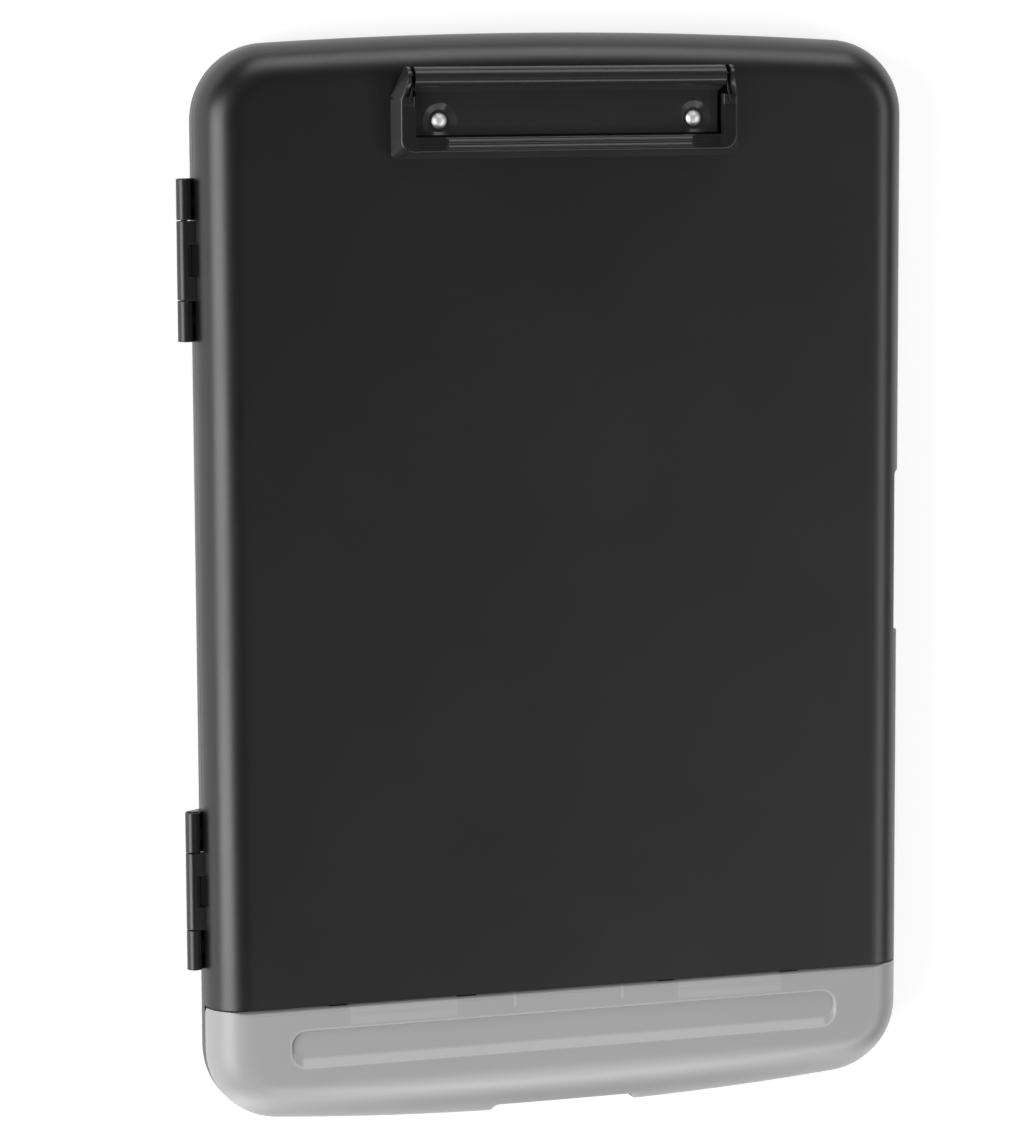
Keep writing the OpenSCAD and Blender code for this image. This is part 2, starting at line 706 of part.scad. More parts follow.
// Round cut along the page, which dips the front bar's top over the scoop's width
module finger_scoop() {
    r = (pow(scoop_w / 2, 2) + pow(scoop_depth, 2)) / (2 * scoop_depth);
    along_y(bar_back_y + through, 0, jaw_top_z + bar_bead_r + r - scoop_depth)
        cylinder(r = r, h = bar_back_y - jaw_y + 2 * through, $fn = 256);
}

module clip_jaw() color([0.05, 0.05, 0.05]) difference() {
    union() {
        difference() {
            jaw_frustum(0, jaw_z, jaw_top_z);
            jaw_hollow();
            translate([-arm_in_x, bar_back_y, 0]) cube([2 * arm_in_x, far, far]);
        }
        for (y = bead_ys) front_bead(y);
        for (side = [0, 1]) mirror([side, 0, 0]) jaw_cheek();
    }
    for (side = [0, 1]) mirror([side, 0, 0]) {
        along_x(arm_in_x, clip_y, clip_z) cylinder(r = rod_r + pin_fit, h = far, $fn = 32);
        translate([0, 0, jaw_top_z - grip_seat]) linear_extrude(far) grip_plan(grip_gap);
    }
    finger_scoop();
}

module clip_pivot_rod() color([0.75, 0.75, 0.77])
    along_x(-ear_x - rod_out, clip_y, clip_z)
        cylinder(r = rod_r, h = 2 * (ear_x + rod_out), $fn = 32);

// Plan of a corner grip on the right; grow widens it into the seat that is cut for it
module grip_plan(grow) {
    out_x = arm_out_x - grip_margin + grow;
    front_y = jaw_y + jaw_lean + grip_margin - grow;
    end_x = arm_out_x - grip_bar_l - grow;
    corner = jaw_corner_r - grip_margin + grow;
    difference() {
        union() {
            translate([end_x, front_y]) square([out_x - end_x, bar_back_y + grow - front_y]);
            translate([arm_in_x - grow, front_y])
                square([out_x - arm_in_x + grow, bar_back_y + grip_arm_l + grow - front_y]);
        }
        translate([out_x - corner, front_y + corner]) difference() {
            translate([0, -corner - through]) square(corner + through);
            circle(corner, $fn = 48);
        }
    }
}

module corner_grip(side) color([0.24, 0.24, 0.24]) mirror([side > 0 ? 0 : 1, 0, 0]) {
    translate([0, 0, jaw_top_z - grip_seat]) linear_extrude(grip_t) grip_plan(0);
    rib_gap = (bar_w - grip_margin) / grip_ribs;
    intersection() {
        for (i = [0.5:1:grip_ribs])
            along_x(arm_out_x - grip_bar_l + grip_margin, bar_back_y - i * rib_gap, grip_top_z)
                cylinder(r = grip_rib_h, h = grip_rib_l, $fn = 16);
        translate([0, jaw_y, grip_top_z - hair]) cube([far, far, through]);
    }
}

module left_corner_grip() corner_grip(-1);
module right_corner_grip() corner_grip(1);

// Round wire through points; each entry is a centre and a direction across the wire
module wire(rings, r, sides) {
    last = len(rings) - 1;
    function along(i) = let (d = rings[min(i + 1, last)][0] - rings[max(i - 1, 0)][0]) d / norm(d);
    function across(i, t) = let (a = rings[i][1] - (rings[i][1] * t) * t) a / norm(a);
    points = [for (i = [0:last]) let (t = along(i), u = across(i, t), v = cross(t, u))
              for (k = [0:sides - 1]) let (turn = 360 * k / sides)
              rings[i][0] + r * (u * cos(turn) + v * sin(turn))];
    skin = [for (i = [0:last - 1], k = [0:sides - 1]) let (n = (k + 1) % sides)
            each [[i * sides + k, i * sides + n, (i + 1) * sides + k],
                  [i * sides + n, (i + 1) * sides + n, (i + 1) * sides + k]]];
    ends = [[for (k = [sides - 1:-1:0]) k], [for (k = [0:sides - 1]) last * sides + k]];
    polyhedron(points, concat(skin, ends));
}

// Torsion spring on the right end of the rod: a leg on the arm, then turns inside the barrel
module clip_spring(side) color([0.6, 0.6, 0.62]) mirror([side > 0 ? 0 : 1, 0, 0])
    translate([0, clip_y, clip_z]) {
        steps = 14;
        sides = 8;
        coil_r = rod_r + wire_r + spring_gap;
        leg_x = plate_l / 2 + (ear_out - sheet_t / 2) / 2;
        leg_z = jaw_top_z - clip_z + wire_r + spring_gap / 2;
        leg = [for (part = [[1, 1], [1 / 2, 1 / 4], [1 / 4, 0]])
               [[leg_x + leg_splay * part[1], -leg_reach * part[0], leg_z], [0, 0, 1]]];
        turns = [for (i = [0:steps * spring_turns])
                 let (a = 90 - 360 * i / steps, x = leg_x - spring_pitch * i / steps)
                 [[x, coil_r * cos(a), coil_r * sin(a)], [0, cos(a), sin(a)]]];
        wire(concat(leg, turns), wire_r, sides);
    }

module left_clip_spring() clip_spring(-1);
module right_clip_spring() clip_spring(1);

base_tray();
lid_cover();
pen_door();
upper_hinge_pin();
lower_hinge_pin();
left_pen_door_pin();
right_pen_door_pin();
clip_base_plate();
clip_jaw();
clip_pivot_rod();
left_clip_spring();
right_clip_spring();
left_corner_grip();
right_corner_grip();
left_rivet();
right_rivet();
left_rivet_washer();
right_rivet_washer();
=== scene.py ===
import bpy
import bmesh
import math
from mathutils import Matrix, Vector


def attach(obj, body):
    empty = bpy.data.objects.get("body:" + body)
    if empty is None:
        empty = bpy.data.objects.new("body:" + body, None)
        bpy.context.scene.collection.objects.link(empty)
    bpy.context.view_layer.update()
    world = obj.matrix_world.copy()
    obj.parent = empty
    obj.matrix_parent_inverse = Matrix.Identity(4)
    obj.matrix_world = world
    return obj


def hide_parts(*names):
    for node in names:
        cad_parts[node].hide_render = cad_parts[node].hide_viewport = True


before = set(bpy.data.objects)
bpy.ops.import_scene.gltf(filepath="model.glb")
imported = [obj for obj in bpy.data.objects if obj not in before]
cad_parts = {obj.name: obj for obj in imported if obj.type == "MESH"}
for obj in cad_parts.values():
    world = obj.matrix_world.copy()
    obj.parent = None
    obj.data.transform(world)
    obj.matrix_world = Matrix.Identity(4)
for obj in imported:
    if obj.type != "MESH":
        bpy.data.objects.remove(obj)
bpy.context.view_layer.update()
print("frame loaded")

# Pieces are modelled in millimetres and scaled to metres when they are finished.
# X runs across the case, Y towards the clip, Z out of the writing face.
millimetre = 0.001
case = {
    "width": 234.0,
    "length": 346.0,
    "height": 25.0,
    "cornerRadius": 24.0,
    "topBow": 2.7,
    "lowBow": 4.0,
    "wall": 2.0,
    "rim": 12.0,
    "coverRim": 12.3,
    "coverEdge": 12.5,
    "lidEdge": -131.3,
}


def rad(degrees):
    return math.radians(degrees)


# ---- mesh helpers ----

def move(bm, verts, x=0.0, y=0.0, z=0.0):
    bmesh.ops.translate(bm, vec=(x, y, z), verts=verts)


def vertsIn(geom):
    return [g for g in geom if isinstance(g, bmesh.types.BMVert)]


def edgesIn(geom):
    return [g for g in geom if isinstance(g, bmesh.types.BMEdge)]


# Grows faces from edges, and gives the new vertices and the edges between them
def extrudeEdges(bm, edges):
    made = bmesh.ops.extrude_edge_only(bm, edges=edges)["geom"]
    verts = vertsIn(made)
    return verts, [e for e in edgesIn(made) if all(v in verts for v in e.verts)]


def bevelEdges(bm, edges, radius, segments):
    if edges and radius > 0:
        bmesh.ops.bevel(bm, geom=edges, offset=radius, offset_type="OFFSET", affect="EDGES",
                        segments=segments, profile=0.5, material=-1, clamp_overlap=True)


def bevelCorners(bm, verts, radius, segments):
    bmesh.ops.bevel(bm, geom=verts, offset=radius, offset_type="OFFSET", affect="VERTICES",
                    segments=segments, profile=0.5, material=-1, clamp_overlap=True)


# Box between two corners, with all its edges rounded
def addBox(bm, low, high, radius=0.0):
    part = bmesh.new()
    bmesh.ops.create_cube(part, size=1.0)
    size = [b - a for a, b in zip(low, high)]
    middle = [(a + b) / 2 for a, b in zip(low, high)]
    bmesh.ops.scale(part, vec=size, verts=part.verts)
    move(part, part.verts, *middle)
    bevelEdges(part, part.edges[:], radius, 2)
    absorb(bm, part)


# Round bar from start to end; taper is the radius at the far end, rounding softens its rims
def addBar(bm, start, end, radius, taper=None, rounding=0.0, sides=32):
    part = bmesh.new()
    axis = Vector(end) - Vector(start)
    bmesh.ops.create_cone(part, cap_ends=True, cap_tris=False, segments=sides, radius1=radius,
                          radius2=radius if taper is None else taper, depth=axis.length)
    rims = [e for e in part.edges if abs(e.verts[0].co.z - e.verts[1].co.z) < 1e-6]
    bevelEdges(part, rims, rounding, 2)
    turn = axis.to_track_quat("Z", "Y").to_matrix()
    bmesh.ops.rotate(part, cent=(0, 0, 0), matrix=turn, verts=part.verts)
    move(part, part.verts, *((Vector(start) + Vector(end)) / 2))
    absorb(bm, part)


# Flat outline pushed along a vector, with its edges rounded
def addPrism(bm, outline, push, radius=0.0):
    part = bmesh.new()
    face = part.faces.new([part.verts.new(point) for point in outline])
    grown = bmesh.ops.extrude_face_region(part, geom=[face])["geom"]
    move(part, vertsIn(grown), *push)
    bmesh.ops.recalc_face_normals(part, faces=part.faces)
    bevelEdges(part, part.edges[:], radius, 2)
    absorb(bm, part)


# Puts the shape of one bmesh into another
def absorb(bm, part):
    mesh = bpy.data.meshes.new("part")
    part.to_mesh(mesh)
    part.free()
    bm.from_mesh(mesh)
    bpy.data.meshes.remove(mesh)


def asObject(bm, name):
    mesh = bpy.data.meshes.new(name)
    bm.to_mesh(mesh)
    made = bpy.data.objects.new(name, mesh)
    bpy.context.scene.collection.objects.link(made)
    return made


# The bmesh as a modifier leaves it
def withModifier(bm, kind, **settings):
    work = asObject(bm, "work")
    bm.free()
    modifier = work.modifiers.new("work", kind)
    for key, value in settings.items():
        setattr(modifier, key, value)
    graph = bpy.context.evaluated_depsgraph_get()
    mesh = bpy.data.meshes.new_from_object(work.evaluated_get(graph))
    result = bmesh.new()
    result.from_mesh(mesh)
    bpy.data.objects.remove(work)
    bpy.data.meshes.remove(mesh)
    return result


def thickened(bm, thickness, offset=-1.0):
    return withModifier(bm, "SOLIDIFY", thickness=thickness, offset=offset, use_even_offset=True,
                        use_rim=True)


def combined(bm, tool, operation, solver="EXACT"):
    cutter = asObject(tool, "cutter")
    tool.free()
    result = withModifier(bm, "BOOLEAN", operation=operation, solver=solver, object=cutter)
    bpy.data.objects.remove(cutter)
    return result


# Makes the object at the origin, smooth up to an angle, with small rounds on the rest
def finishPiece(name, bm, body, material, nodes, smooth=12.0, rounding=0.0):
    bmesh.ops.scale(bm, vec=(millimetre,) * 3, verts=bm.verts)
    piece = asObject(bm, name)
    bm.free()
    mesh = piece.data
    mesh.materials.append(material)
    mesh.polygons.foreach_set("use_smooth", [True] * len(mesh.polygons))
    mesh.set_sharp_from_angle(angle=rad(smooth))
    if rounding:
        bevel = piece.modifiers.new("softEdges", "BEVEL")
        bevel.width = rounding * millimetre
        bevel.segments = 2
        bevel.limit_method = "ANGLE"
        bevel.angle_limit = rad(smooth + 2)
        bevel.harden_normals = True
    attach(piece, body)
    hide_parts(*nodes)
    print("made", name, len(mesh.polygons))


# ---- materials ----

def linear(hexColour):
    values = [int(hexColour[i:i + 2], 16) / 255 for i in (1, 3, 5)]
    return tuple(c / 12.92 if c <= 0.04045 else ((c + 0.055) / 1.055) ** 2.4 for c in values) + (1.0,)


def addNode(tree, kind, inputs=None, **attributes):
    made = tree.nodes.new(kind)
    for key, value in attributes.items():
        setattr(made, key, value)
    for key, value in (inputs or {}).items():
        if isinstance(value, bpy.types.NodeSocket):
            tree.links.new(value, made.inputs[key])
        else:
            made.inputs[key].default_value = value
    return made


def newMaterial(name, sockets):
    material = bpy.data.materials.new(name)
    material.use_nodes = True
    tree = material.node_tree
    shader = tree.nodes["Principled BSDF"]
    for key, value in sockets.items():
        shader.inputs[key].default_value = value
    return material, tree, shader


def objectPlace(tree):
    return addNode(tree, "ShaderNodeTexCoord").outputs["Object"]


def maths(tree, operation, first, second=0.0):
    return addNode(tree, "ShaderNodeMath", {0: first, 1: second}, operation=operation).outputs[0]


# Noise with spots of about one size, in millimetres
def noiseOf(tree, place, size, detail, roughness):
    noise = addNode(tree, "ShaderNodeTexNoise", {"Vector": place, "Scale": 1000.0 / size,
                                                 "Detail": detail, "Roughness": roughness})
    return noise.outputs["Fac"]


# Fine grain of a moulded or coated surface: size and height in millimetres
def addGrain(tree, shader, place, size, height, detail=3.0):
    bump = addNode(tree, "ShaderNodeBump", {"Height": noiseOf(tree, place, size, detail, 0.6),
                                            "Strength": 1.0, "Distance": height * millimetre})
    tree.links.new(bump.outputs["Normal"], shader.inputs["Normal"])


# Slow change of roughness over the surface, as handling and moulding leave it
def varyRoughness(tree, shader, place, size, low, high):
    noise = noiseOf(tree, place, size, 4.0, 0.55)
    spread = addNode(tree, "ShaderNodeMapRange", {"Value": noise, "From Min": 0.3, "From Max": 0.7,
                                                  "To Min": low, "To Max": high})
    tree.links.new(spread.outputs["Result"], shader.inputs["Roughness"])


# The colour sockets of a Mix node come after its number and vector sockets
def mixColours(tree, share, first, second):
    mix = addNode(tree, "ShaderNodeMix", {0: share, 6: first, 7: second}, data_type="RGBA")
    return mix.outputs[2]


# 1 between two places on one axis, in millimetres, with a soft fade at both ends
def band(tree, value, low, high, soft):
    ends = []
    for near, far in ((low - soft, low + soft), (high + soft, high - soft)):
        step = addNode(tree, "ShaderNodeMapRange", {"Value": value, "From Min": near * millimetre,
                                                    "From Max": far * millimetre},
                       interpolation_type="SMOOTHSTEP")
        ends.append(step.outputs["Result"])
    return maths(tree, "MULTIPLY", *ends)


# Slow change of colour between two near shades
def varyColour(tree, shader, place, size, dark, light):
    noise = noiseOf(tree, place, size, 3.0, 0.5)
    colour = mixColours(tree, noise, linear(dark), linear(light))
    tree.links.new(colour, shader.inputs["Base Color"])
    return colour


# Polypropylene, injection moulded in a spark-eroded tool: a satin black with soft, wide highlights
def blackPolypropylene():
    material, tree, shader = newMaterial("blackPolypropylene", {"IOR": 1.49, "Specular IOR Level": 0.72})
    place = objectPlace(tree)
    varyColour(tree, shader, place, 60.0, "#0C0C0C", "#0F0F0F")
    varyRoughness(tree, shader, place, 45.0, 0.34, 0.39)
    addGrain(tree, shader, place, 0.35, 0.004)
    return material


# Natural polypropylene with a matt tool finish: a milky grey that lets a little light through. Its
# colour is painted paler over the knuckles and ribs, standing for the light that gathers where the
# plastic is thick, and it carries painted highlights on the pen groove's lower slope and at the start of
# the lower round
def frostedPolypropylene():
    paintedLightColour = linear("#CCCCCC")
    # from x, to x, from y, to y, soft edge, how much; x counts outwards from the middle, so a
    # start below 0 leaves no edge there
    paintedLightPlaces = (
        # painted light over the door's knuckles, where the plastic is thick
        (37.3, 72.9, -138.0, -131.0, 0.4, 0.25),
        # painted light over the ribs, where the plastic is thick
        (17.8, 18.6, -136.6, -131.0, 0.2, 0.4),
        # painted highlight on the lower slope of the pen groove
        (-10.0, 88.5, -150.8, -148.2, 0.7, 0.6),
        # painted highlight at the start of the lower round
        (-10.0, 110.0, -164.5, -158.5, 3.5, 0.8),
    )
    # painted highlight line round the pen groove: its middle, reach, corner, half-width, soft edge and
    # share
    groove = {"middle": (0, -145, 0), "reach": (87.2, 1, 0), "corner": 5.0, "rim": 0.35, "soft": 0.3,
              "share": 0.5}
    material, tree, shader = newMaterial("frostedPolypropylene", {
        "IOR": 1.49,
        "Specular IOR Level": 0.5,
        "Subsurface Weight": 0.15,
        "Subsurface Radius": (0.002, 0.002, 0.002),
        "Subsurface Scale": 1.0,
    })
    place = objectPlace(tree)
    colour = varyColour(tree, shader, place, 80.0, "#A6A6A6", "#AAAAAA")
    axes = addNode(tree, "ShaderNodeSeparateXYZ", {"Vector": place}).outputs
    side = maths(tree, "ABSOLUTE", axes["X"])
    for lowX, highX, lowY, highY, soft, share in paintedLightPlaces:
        across = band(tree, side, lowX, highX, soft)
        along = band(tree, axes["Y"], lowY, highY, soft)
        paintedLightShare = maths(tree, "MULTIPLY", maths(tree, "MULTIPLY", across, along), share)
        colour = mixColours(tree, paintedLightShare, colour, paintedLightColour)
    # painted highlight: a thin pale line along the rim of the groove, a rounded rectangle a fixed
    # distance from its inner core
    away = place
    for operation, value in (("SUBTRACT", Vector(groove["middle"]) * millimetre),
                             ("ABSOLUTE", (0, 0, 0)),
                             ("SUBTRACT", Vector(groove["reach"]) * millimetre),
                             ("MAXIMUM", (0, 0, 0)), ("MULTIPLY", (1, 1, 0))):
        away = addNode(tree, "ShaderNodeVectorMath", {0: away, 1: value},
                       operation=operation).outputs["Vector"]
    away = addNode(tree, "ShaderNodeVectorMath", {0: away}, operation="LENGTH").outputs["Value"]
    rim = band(tree, away, groove["corner"] - groove["rim"], groove["corner"] + groove["rim"],
               groove["soft"])
    colour = mixColours(tree, maths(tree, "MULTIPLY", rim, groove["share"]), colour, paintedLightColour)
    tree.links.new(colour, shader.inputs["Base Color"])
    varyRoughness(tree, shader, place, 50.0, 0.32, 0.37)
    addGrain(tree, shader, place, 0.4, 0.005)
    return material


# Stove enamel on pressed sheet steel: a charcoal black with a satin gloss and a faint orange peel
def blackEnamel():
    material, tree, shader = newMaterial("blackEnamel", {"IOR": 1.55, "Specular IOR Level": 0.32})
    place = objectPlace(tree)
    varyColour(tree, shader, place, 12.0, "#272727", "#2B2B2B")
    varyRoughness(tree, shader, place, 9.0, 0.19, 0.25)
    addGrain(tree, shader, place, 1.2, 0.0015, 2.0)
    return material


# Steel that is bright, plated or blued by its shades; a stretched grain reads as draw marks
def finishedSteel(name, dark, light, roughLow, roughHigh, stretch=(1.0, 1.0, 1.0)):
    material, tree, shader = newMaterial(name, {"Metallic": 1.0})
    place = objectPlace(tree)
    varyColour(tree, shader, place, 3.0, dark, light)
    varyRoughness(tree, shader, place, 2.0, roughLow, roughHigh)
    drawn = addNode(tree, "ShaderNodeMapping", {"Vector": place, "Scale": stretch})
    addGrain(tree, shader, drawn.outputs["Vector"], 0.3, 0.002, 2.0)
    return material


# Moulded rubber pad: matt, nearly black, with a fine pebbled skin
def mattRubber():
    material, tree, shader = newMaterial("mattRubber", {"IOR": 1.52, "Specular IOR Level": 0.2})
    place = objectPlace(tree)
    varyColour(tree, shader, place, 4.0, "#141414", "#1A1A1A")
    varyRoughness(tree, shader, place, 3.0, 0.68, 0.8)
    addGrain(tree, shader, place, 0.25, 0.012)
    return material


caseFinish = blackPolypropylene()
doorFinish = frostedPolypropylene()
clipFinish = blackEnamel()
pinFinish = finishedSteel("drawnSteel", "#B4B4B6", "#C8C8CA", 0.28, 0.4, (1.0, 0.1, 1.0))
springFinish = finishedSteel("bluedSpringSteel", "#242428", "#34343A", 0.22, 0.3)
rivetFinish = finishedSteel("nickelPlate", "#F0F0F1", "#FAFAFA", 0.48, 0.56)
gripFinish = mattRubber()
print("materials made")


# ---- the two shells ----

skin = {"edgeSteps": 14, "cornerSteps": 20, "bowSteps": 12, "flatStrip": 2.0}


# Outer skin of the tray or the covers: a wall section swept round the bowed plan
def caseSkin(rimHeight, faceHeight, edgeRadius):
    bm = bmesh.new()
    up = 1 if faceHeight > rimHeight else -1
    reach = case["cornerRadius"]
    cornerX = case["width"] / 2 - reach
    crown = case["length"] / 2 - reach
    topCorner = crown - case["topBow"]
    lowCorner = -crown + case["lowBow"]
    rim = bm.verts.new((0, crown + reach, rimHeight))
    start = bm.verts.new((0, crown + reach, faceHeight - up * edgeRadius))
    bm.edges.new((rim, start))
    turn = bmesh.ops.spin(bm, geom=[start], cent=(0, crown + reach - edgeRadius, start.co.z),
                          axis=(1, 0, 0), angle=up * rad(90), steps=skin["edgeSteps"])
    flat = bm.verts.new((0, crown + reach - edgeRadius - skin["flatStrip"], faceHeight))
    bm.edges.new((vertsIn(turn["geom_last"])[0], flat))

    def bowRadius(bow):
        return reach + (cornerX ** 2 + bow ** 2) / (2 * bow)

    def sweepOf(bow):
        return math.asin(cornerX / (bowRadius(bow) - reach))

    def turned(geom, centreX, centreY, angle, steps):
        return bmesh.ops.spin(bm, geom=geom, cent=(centreX, centreY, 0), axis=(0, 0, 1),
                              angle=-angle, steps=steps)["geom_last"]

    topSweep = sweepOf(case["topBow"])
    lowSweep = sweepOf(case["lowBow"])
    row = bm.verts[:] + bm.edges[:]
    row = turned(row, 0, case["length"] / 2 - bowRadius(case["topBow"]), topSweep, skin["bowSteps"])
    row = turned(row, cornerX, topCorner, rad(90) - topSweep, skin["cornerSteps"])
    sideVerts, sideEdges = extrudeEdges(bm, edgesIn(row))
    move(bm, sideVerts, y=lowCorner - topCorner)
    row = turned(sideVerts + sideEdges, cornerX, lowCorner, rad(90) - lowSweep, skin["cornerSteps"])
    turned(row, 0, bowRadius(case["lowBow"]) - case["length"] / 2, lowSweep, skin["bowSteps"])
    bmesh.ops.mirror(bm, geom=bm.verts[:] + bm.edges[:] + bm.faces[:], axis="X", merge_dist=0.001)
    bmesh.ops.remove_doubles(bm, verts=bm.verts, dist=0.001)
    inner = [e for e in bm.edges if e.is_boundary
             and all(abs(v.co.z - faceHeight) < 1e-4 for v in e.verts)]
    bmesh.ops.edgeloop_fill(bm, edges=inner)
    bmesh.ops.recalc_face_normals(bm, faces=bm.faces)
    if (max(bm.faces, key=lambda f: f.calc_area()).normal.z > 0) != (up > 0):
        bmesh.ops.reverse_faces(bm, faces=bm.faces)
    return bm


# Keeps one side of a plane
def keepSide(bm, point, normal):
    bmesh.ops.bisect_plane(bm, geom=bm.verts[:] + bm.edges[:] + bm.faces[:], dist=1e-5,
                           plane_co=point, plane_no=normal, clear_inner=True)


# Cut along a plane through only those faces whose middles the test picks
def crossCut(bm, point, normal, picks):
    faces = [f for f in bm.faces if picks(f.calc_center_median())]
    geom = set(faces)
    for face in faces:
        geom.update(face.edges)
        geom.update(face.verts)
    bmesh.ops.bisect_plane(bm, geom=list(geom), dist=1e-5, plane_co=point, plane_no=normal)


notches = {
    "side": {"middle": (0, 4.7), "along": (0, 1, 0), "out": (1, 0, 0), "floor": 113.5, "length": 53.0},
    "end": {"middle": (1.0, 0), "along": (1, 0, 0), "out": (0, -1, 0), "floor": 169.5, "length": 50.0},
}
notchCut = {"slant": 1.6, "depthReach": 14.0, "endReach": 90.0}


# Shallow finger recess: the wall is pressed back to a flat floor with slanted ends
def pressNotch(bm, settings):
    along = Vector(settings["along"])
    out = Vector(settings["out"])
    middle = Vector((*settings["middle"], 0)).dot(along)
    half = settings["length"] / 2
    flatHalf = half - notchCut["slant"]
    floor = settings["floor"]
    depth = floor - notchCut["depthReach"]

    def nearWall(point, reach):
        return point.dot(out) > depth and abs(point.dot(along) - middle) < reach

    for offset in (-half, -flatHalf, flatHalf, half):
        crossCut(bm, along * (middle + offset), along,
                 lambda p: nearWall(p, half + notchCut["endReach"]))
    crossCut(bm, out * floor, out, lambda p: nearWall(p, half))
    for vert in bm.verts:
        beyond = vert.co.dot(out) - floor
        if beyond > 0 and abs(vert.co.dot(along) - middle) < flatHalf + 1e-3:
            vert.co -= out * beyond


# ---- lid hinges ----

hinge = {
    "x": -120.0,
    "z": 12.15,
    "middles": (103.7, -94.3),
    "radius": 2.4,
    "endLength": 12.8,
    "midLength": 24.5,
    "gap": 0.15,
    "outerArm": 4.9,
    "innerArm": 3.6,
    "midArm": 7.2,
    "gusset": 5.6,
    "bore": 1.05,
    "countersink": 0.5,
    "rimRound": 0.25,
    "wallX": -116.0,
    "parting": 0.15,
    "armSink": 0.02,
    "armRound": 0.15,
    # dark sheet of painted shade under each knuckle window: its thickness and inset
    "web": 0.9,
    "webInset": 1.0,
}


# Arm from a barrel to the wall, on the tray's side (way 1) or the lid's side (way -1) of the
# parting plane: a gusset below the barrel, or a bar that is flat with its top
def addArm(bm, fromY, length, way):
    x = hinge["x"]
    lean = hinge["radius"] * math.sqrt(0.5)
    top = hinge["radius"] - hinge["armSink"]
    part = -way * hinge["parting"]
    if way > 0:
        outline = [(x, 0), (x - lean, -lean), (hinge["wallX"], -hinge["gusset"])]
    else:
        outline = [(x, top), (hinge["wallX"], top)]
    outline += [(hinge["wallX"], part), (x, part)]
    addPrism(bm, [(px, fromY, hinge["z"] + pz) for px, pz in outline], (0, length, 0),
             hinge["armRound"])


# Thin dark sheet under the window between the arms of a knuckle: painted shade, put where the real
# hinge's open window shows only shade
def addShadeSheet(bm, lowY, highY, way):
    near = hinge["z"] - way * hinge["parting"]
    far = near - way * hinge["web"]
    addBox(bm, (hinge["x"], lowY + hinge["webInset"], min(near, far)),
           (hinge["wallX"], highY - hinge["webInset"], max(near, far)))


# One knuckle: a barrel with countersunk ends that show the pin
def addKnuckle(bm, lowY, highY):
    part = bmesh.new()
    r = hinge["radius"]
    bmesh.ops.create_cone(part, cap_ends=True, segments=40, radius1=r, radius2=r, depth=highY - lowY)
    caps = [f for f in part.faces if abs(f.normal.z) > 0.9]
    bmesh.ops.inset_individual(part, faces=caps, thickness=r - hinge["bore"])
    for face in caps:
        bmesh.ops.translate(part, vec=face.normal * -hinge["countersink"], verts=face.verts)
    rims = [e for e in part.edges if abs(e.verts[0].co.z - e.verts[1].co.z) < 1e-6
            and math.hypot(*e.verts[0].co.xy) > r - 0.01]
    bevelEdges(part, rims, hinge["rimRound"], 2)
    bmesh.ops.rotate(part, cent=(0, 0, 0), matrix=Matrix.Rotation(rad(90), 3, "X"), verts=part.verts)
    move(part, part.verts, hinge["x"], (lowY + highY) / 2, hinge["z"])
    absorb(bm, part)


def addTrayHinges(bm):
    for middle in hinge["middles"]:
        for side in (-1, 1):
            near = middle + side * (hinge["midLength"] / 2 + hinge["gap"])
            far = near + side * hinge["endLength"]
            addKnuckle(bm, min(near, far), max(near, far))
            addArm(bm, min(far, far - side * hinge["outerArm"]), hinge["outerArm"], 1)
            addArm(bm, min(near, near + side * hinge["innerArm"]), hinge["innerArm"], 1)
            addShadeSheet(bm, min(near, far), max(near, far), 1)


def addLidHinges(bm):
    half = hinge["midLength"] / 2
    for middle in hinge["middles"]:
        addKnuckle(bm, middle - half, middle + half)
        for start in (middle - half, middle + half - hinge["midArm"]):
            addArm(bm, start, hinge["midArm"], -1)
        addShadeSheet(bm, middle - half, middle + half, -1)


# ---- lid ----

def makeLid():
    bm = caseSkin(case["coverRim"], case["height"], case["coverEdge"])
    keepSide(bm, (0, case["lidEdge"], 0), (0, 1, 0))
    pressNotch(bm, notches["side"])
    bm = thickened(bm, case["wall"])
    addLidHinges(bm)
    finishPiece("lidShell", bm, "lid", caseFinish, ["lid_cover"], rounding=0.3)


makeLid()


# ---- pen door ----

door = {
    "axisY": -134.8,
    "axisZ": 22.0,
    "roll": 3.0,
    "nose": 3.3,
    "heel": 9.6,
    "noseSteps": 6,
    "hingeBand": 60.0,
    "knuckleX": 37.3,
    "knuckleLength": 35.6,
    "knuckleInset": 0.05,
    "knuckleRound": 0.2,
    "knuckleRoot": (4.0, 2.0),
    "ribX": 18.2,
    "ribWidth": 0.9,
    "ribReach": 2.6,
    "ribLow": 0.4,
    "ribTop": 1.2,
    "ribRound": 0.15,
    "grooveHalf": 92.2,
    "grooveTop": -139.0,
    "grooveWidth": 12.0,
    "grooveSlope": 3.0,
    "grooveDepth": 0.9,
    "grooveCorner": 5.4,
    "grooveFloorCorner": 4.2,
    "grooveLift": 0.5,
    "grooveInset": 0.5,
    "grooveFlare": 0.3,
    "lugLength": 6.0,
    "lugRadius": 2.0,
    "lugGap": 0.3,
    "lugArc": 120.0,
    "lugArcSteps": 8,
    "lugShoulder": 0.67,
    "lugFoot": 12.0,
    "crownY": -153.5,
    "crownDrop": 0.0075,
    "crownSteps": 4,
    "crownPitch": 2.2,
    "crownBand": 0.5,
}


# The face rolls down gently from the pen groove before the round of the lower edge takes over
def crownLowEdge(bm):
    for step in range(door["crownSteps"]):
        crossCut(bm, (0, door["crownY"] - door["crownPitch"] * step, 0), (0, 1, 0),
                 lambda p: p.z > case["height"] - door["crownBand"])
    height = case["height"] - case["coverRim"]
    for vert in bm.verts:
        past = door["crownY"] - vert.co.y
        if past > 0:
            drop = door["crownDrop"] * past ** 2
            vert.co.z -= drop * max(vert.co.z - case["coverRim"], 0) / height


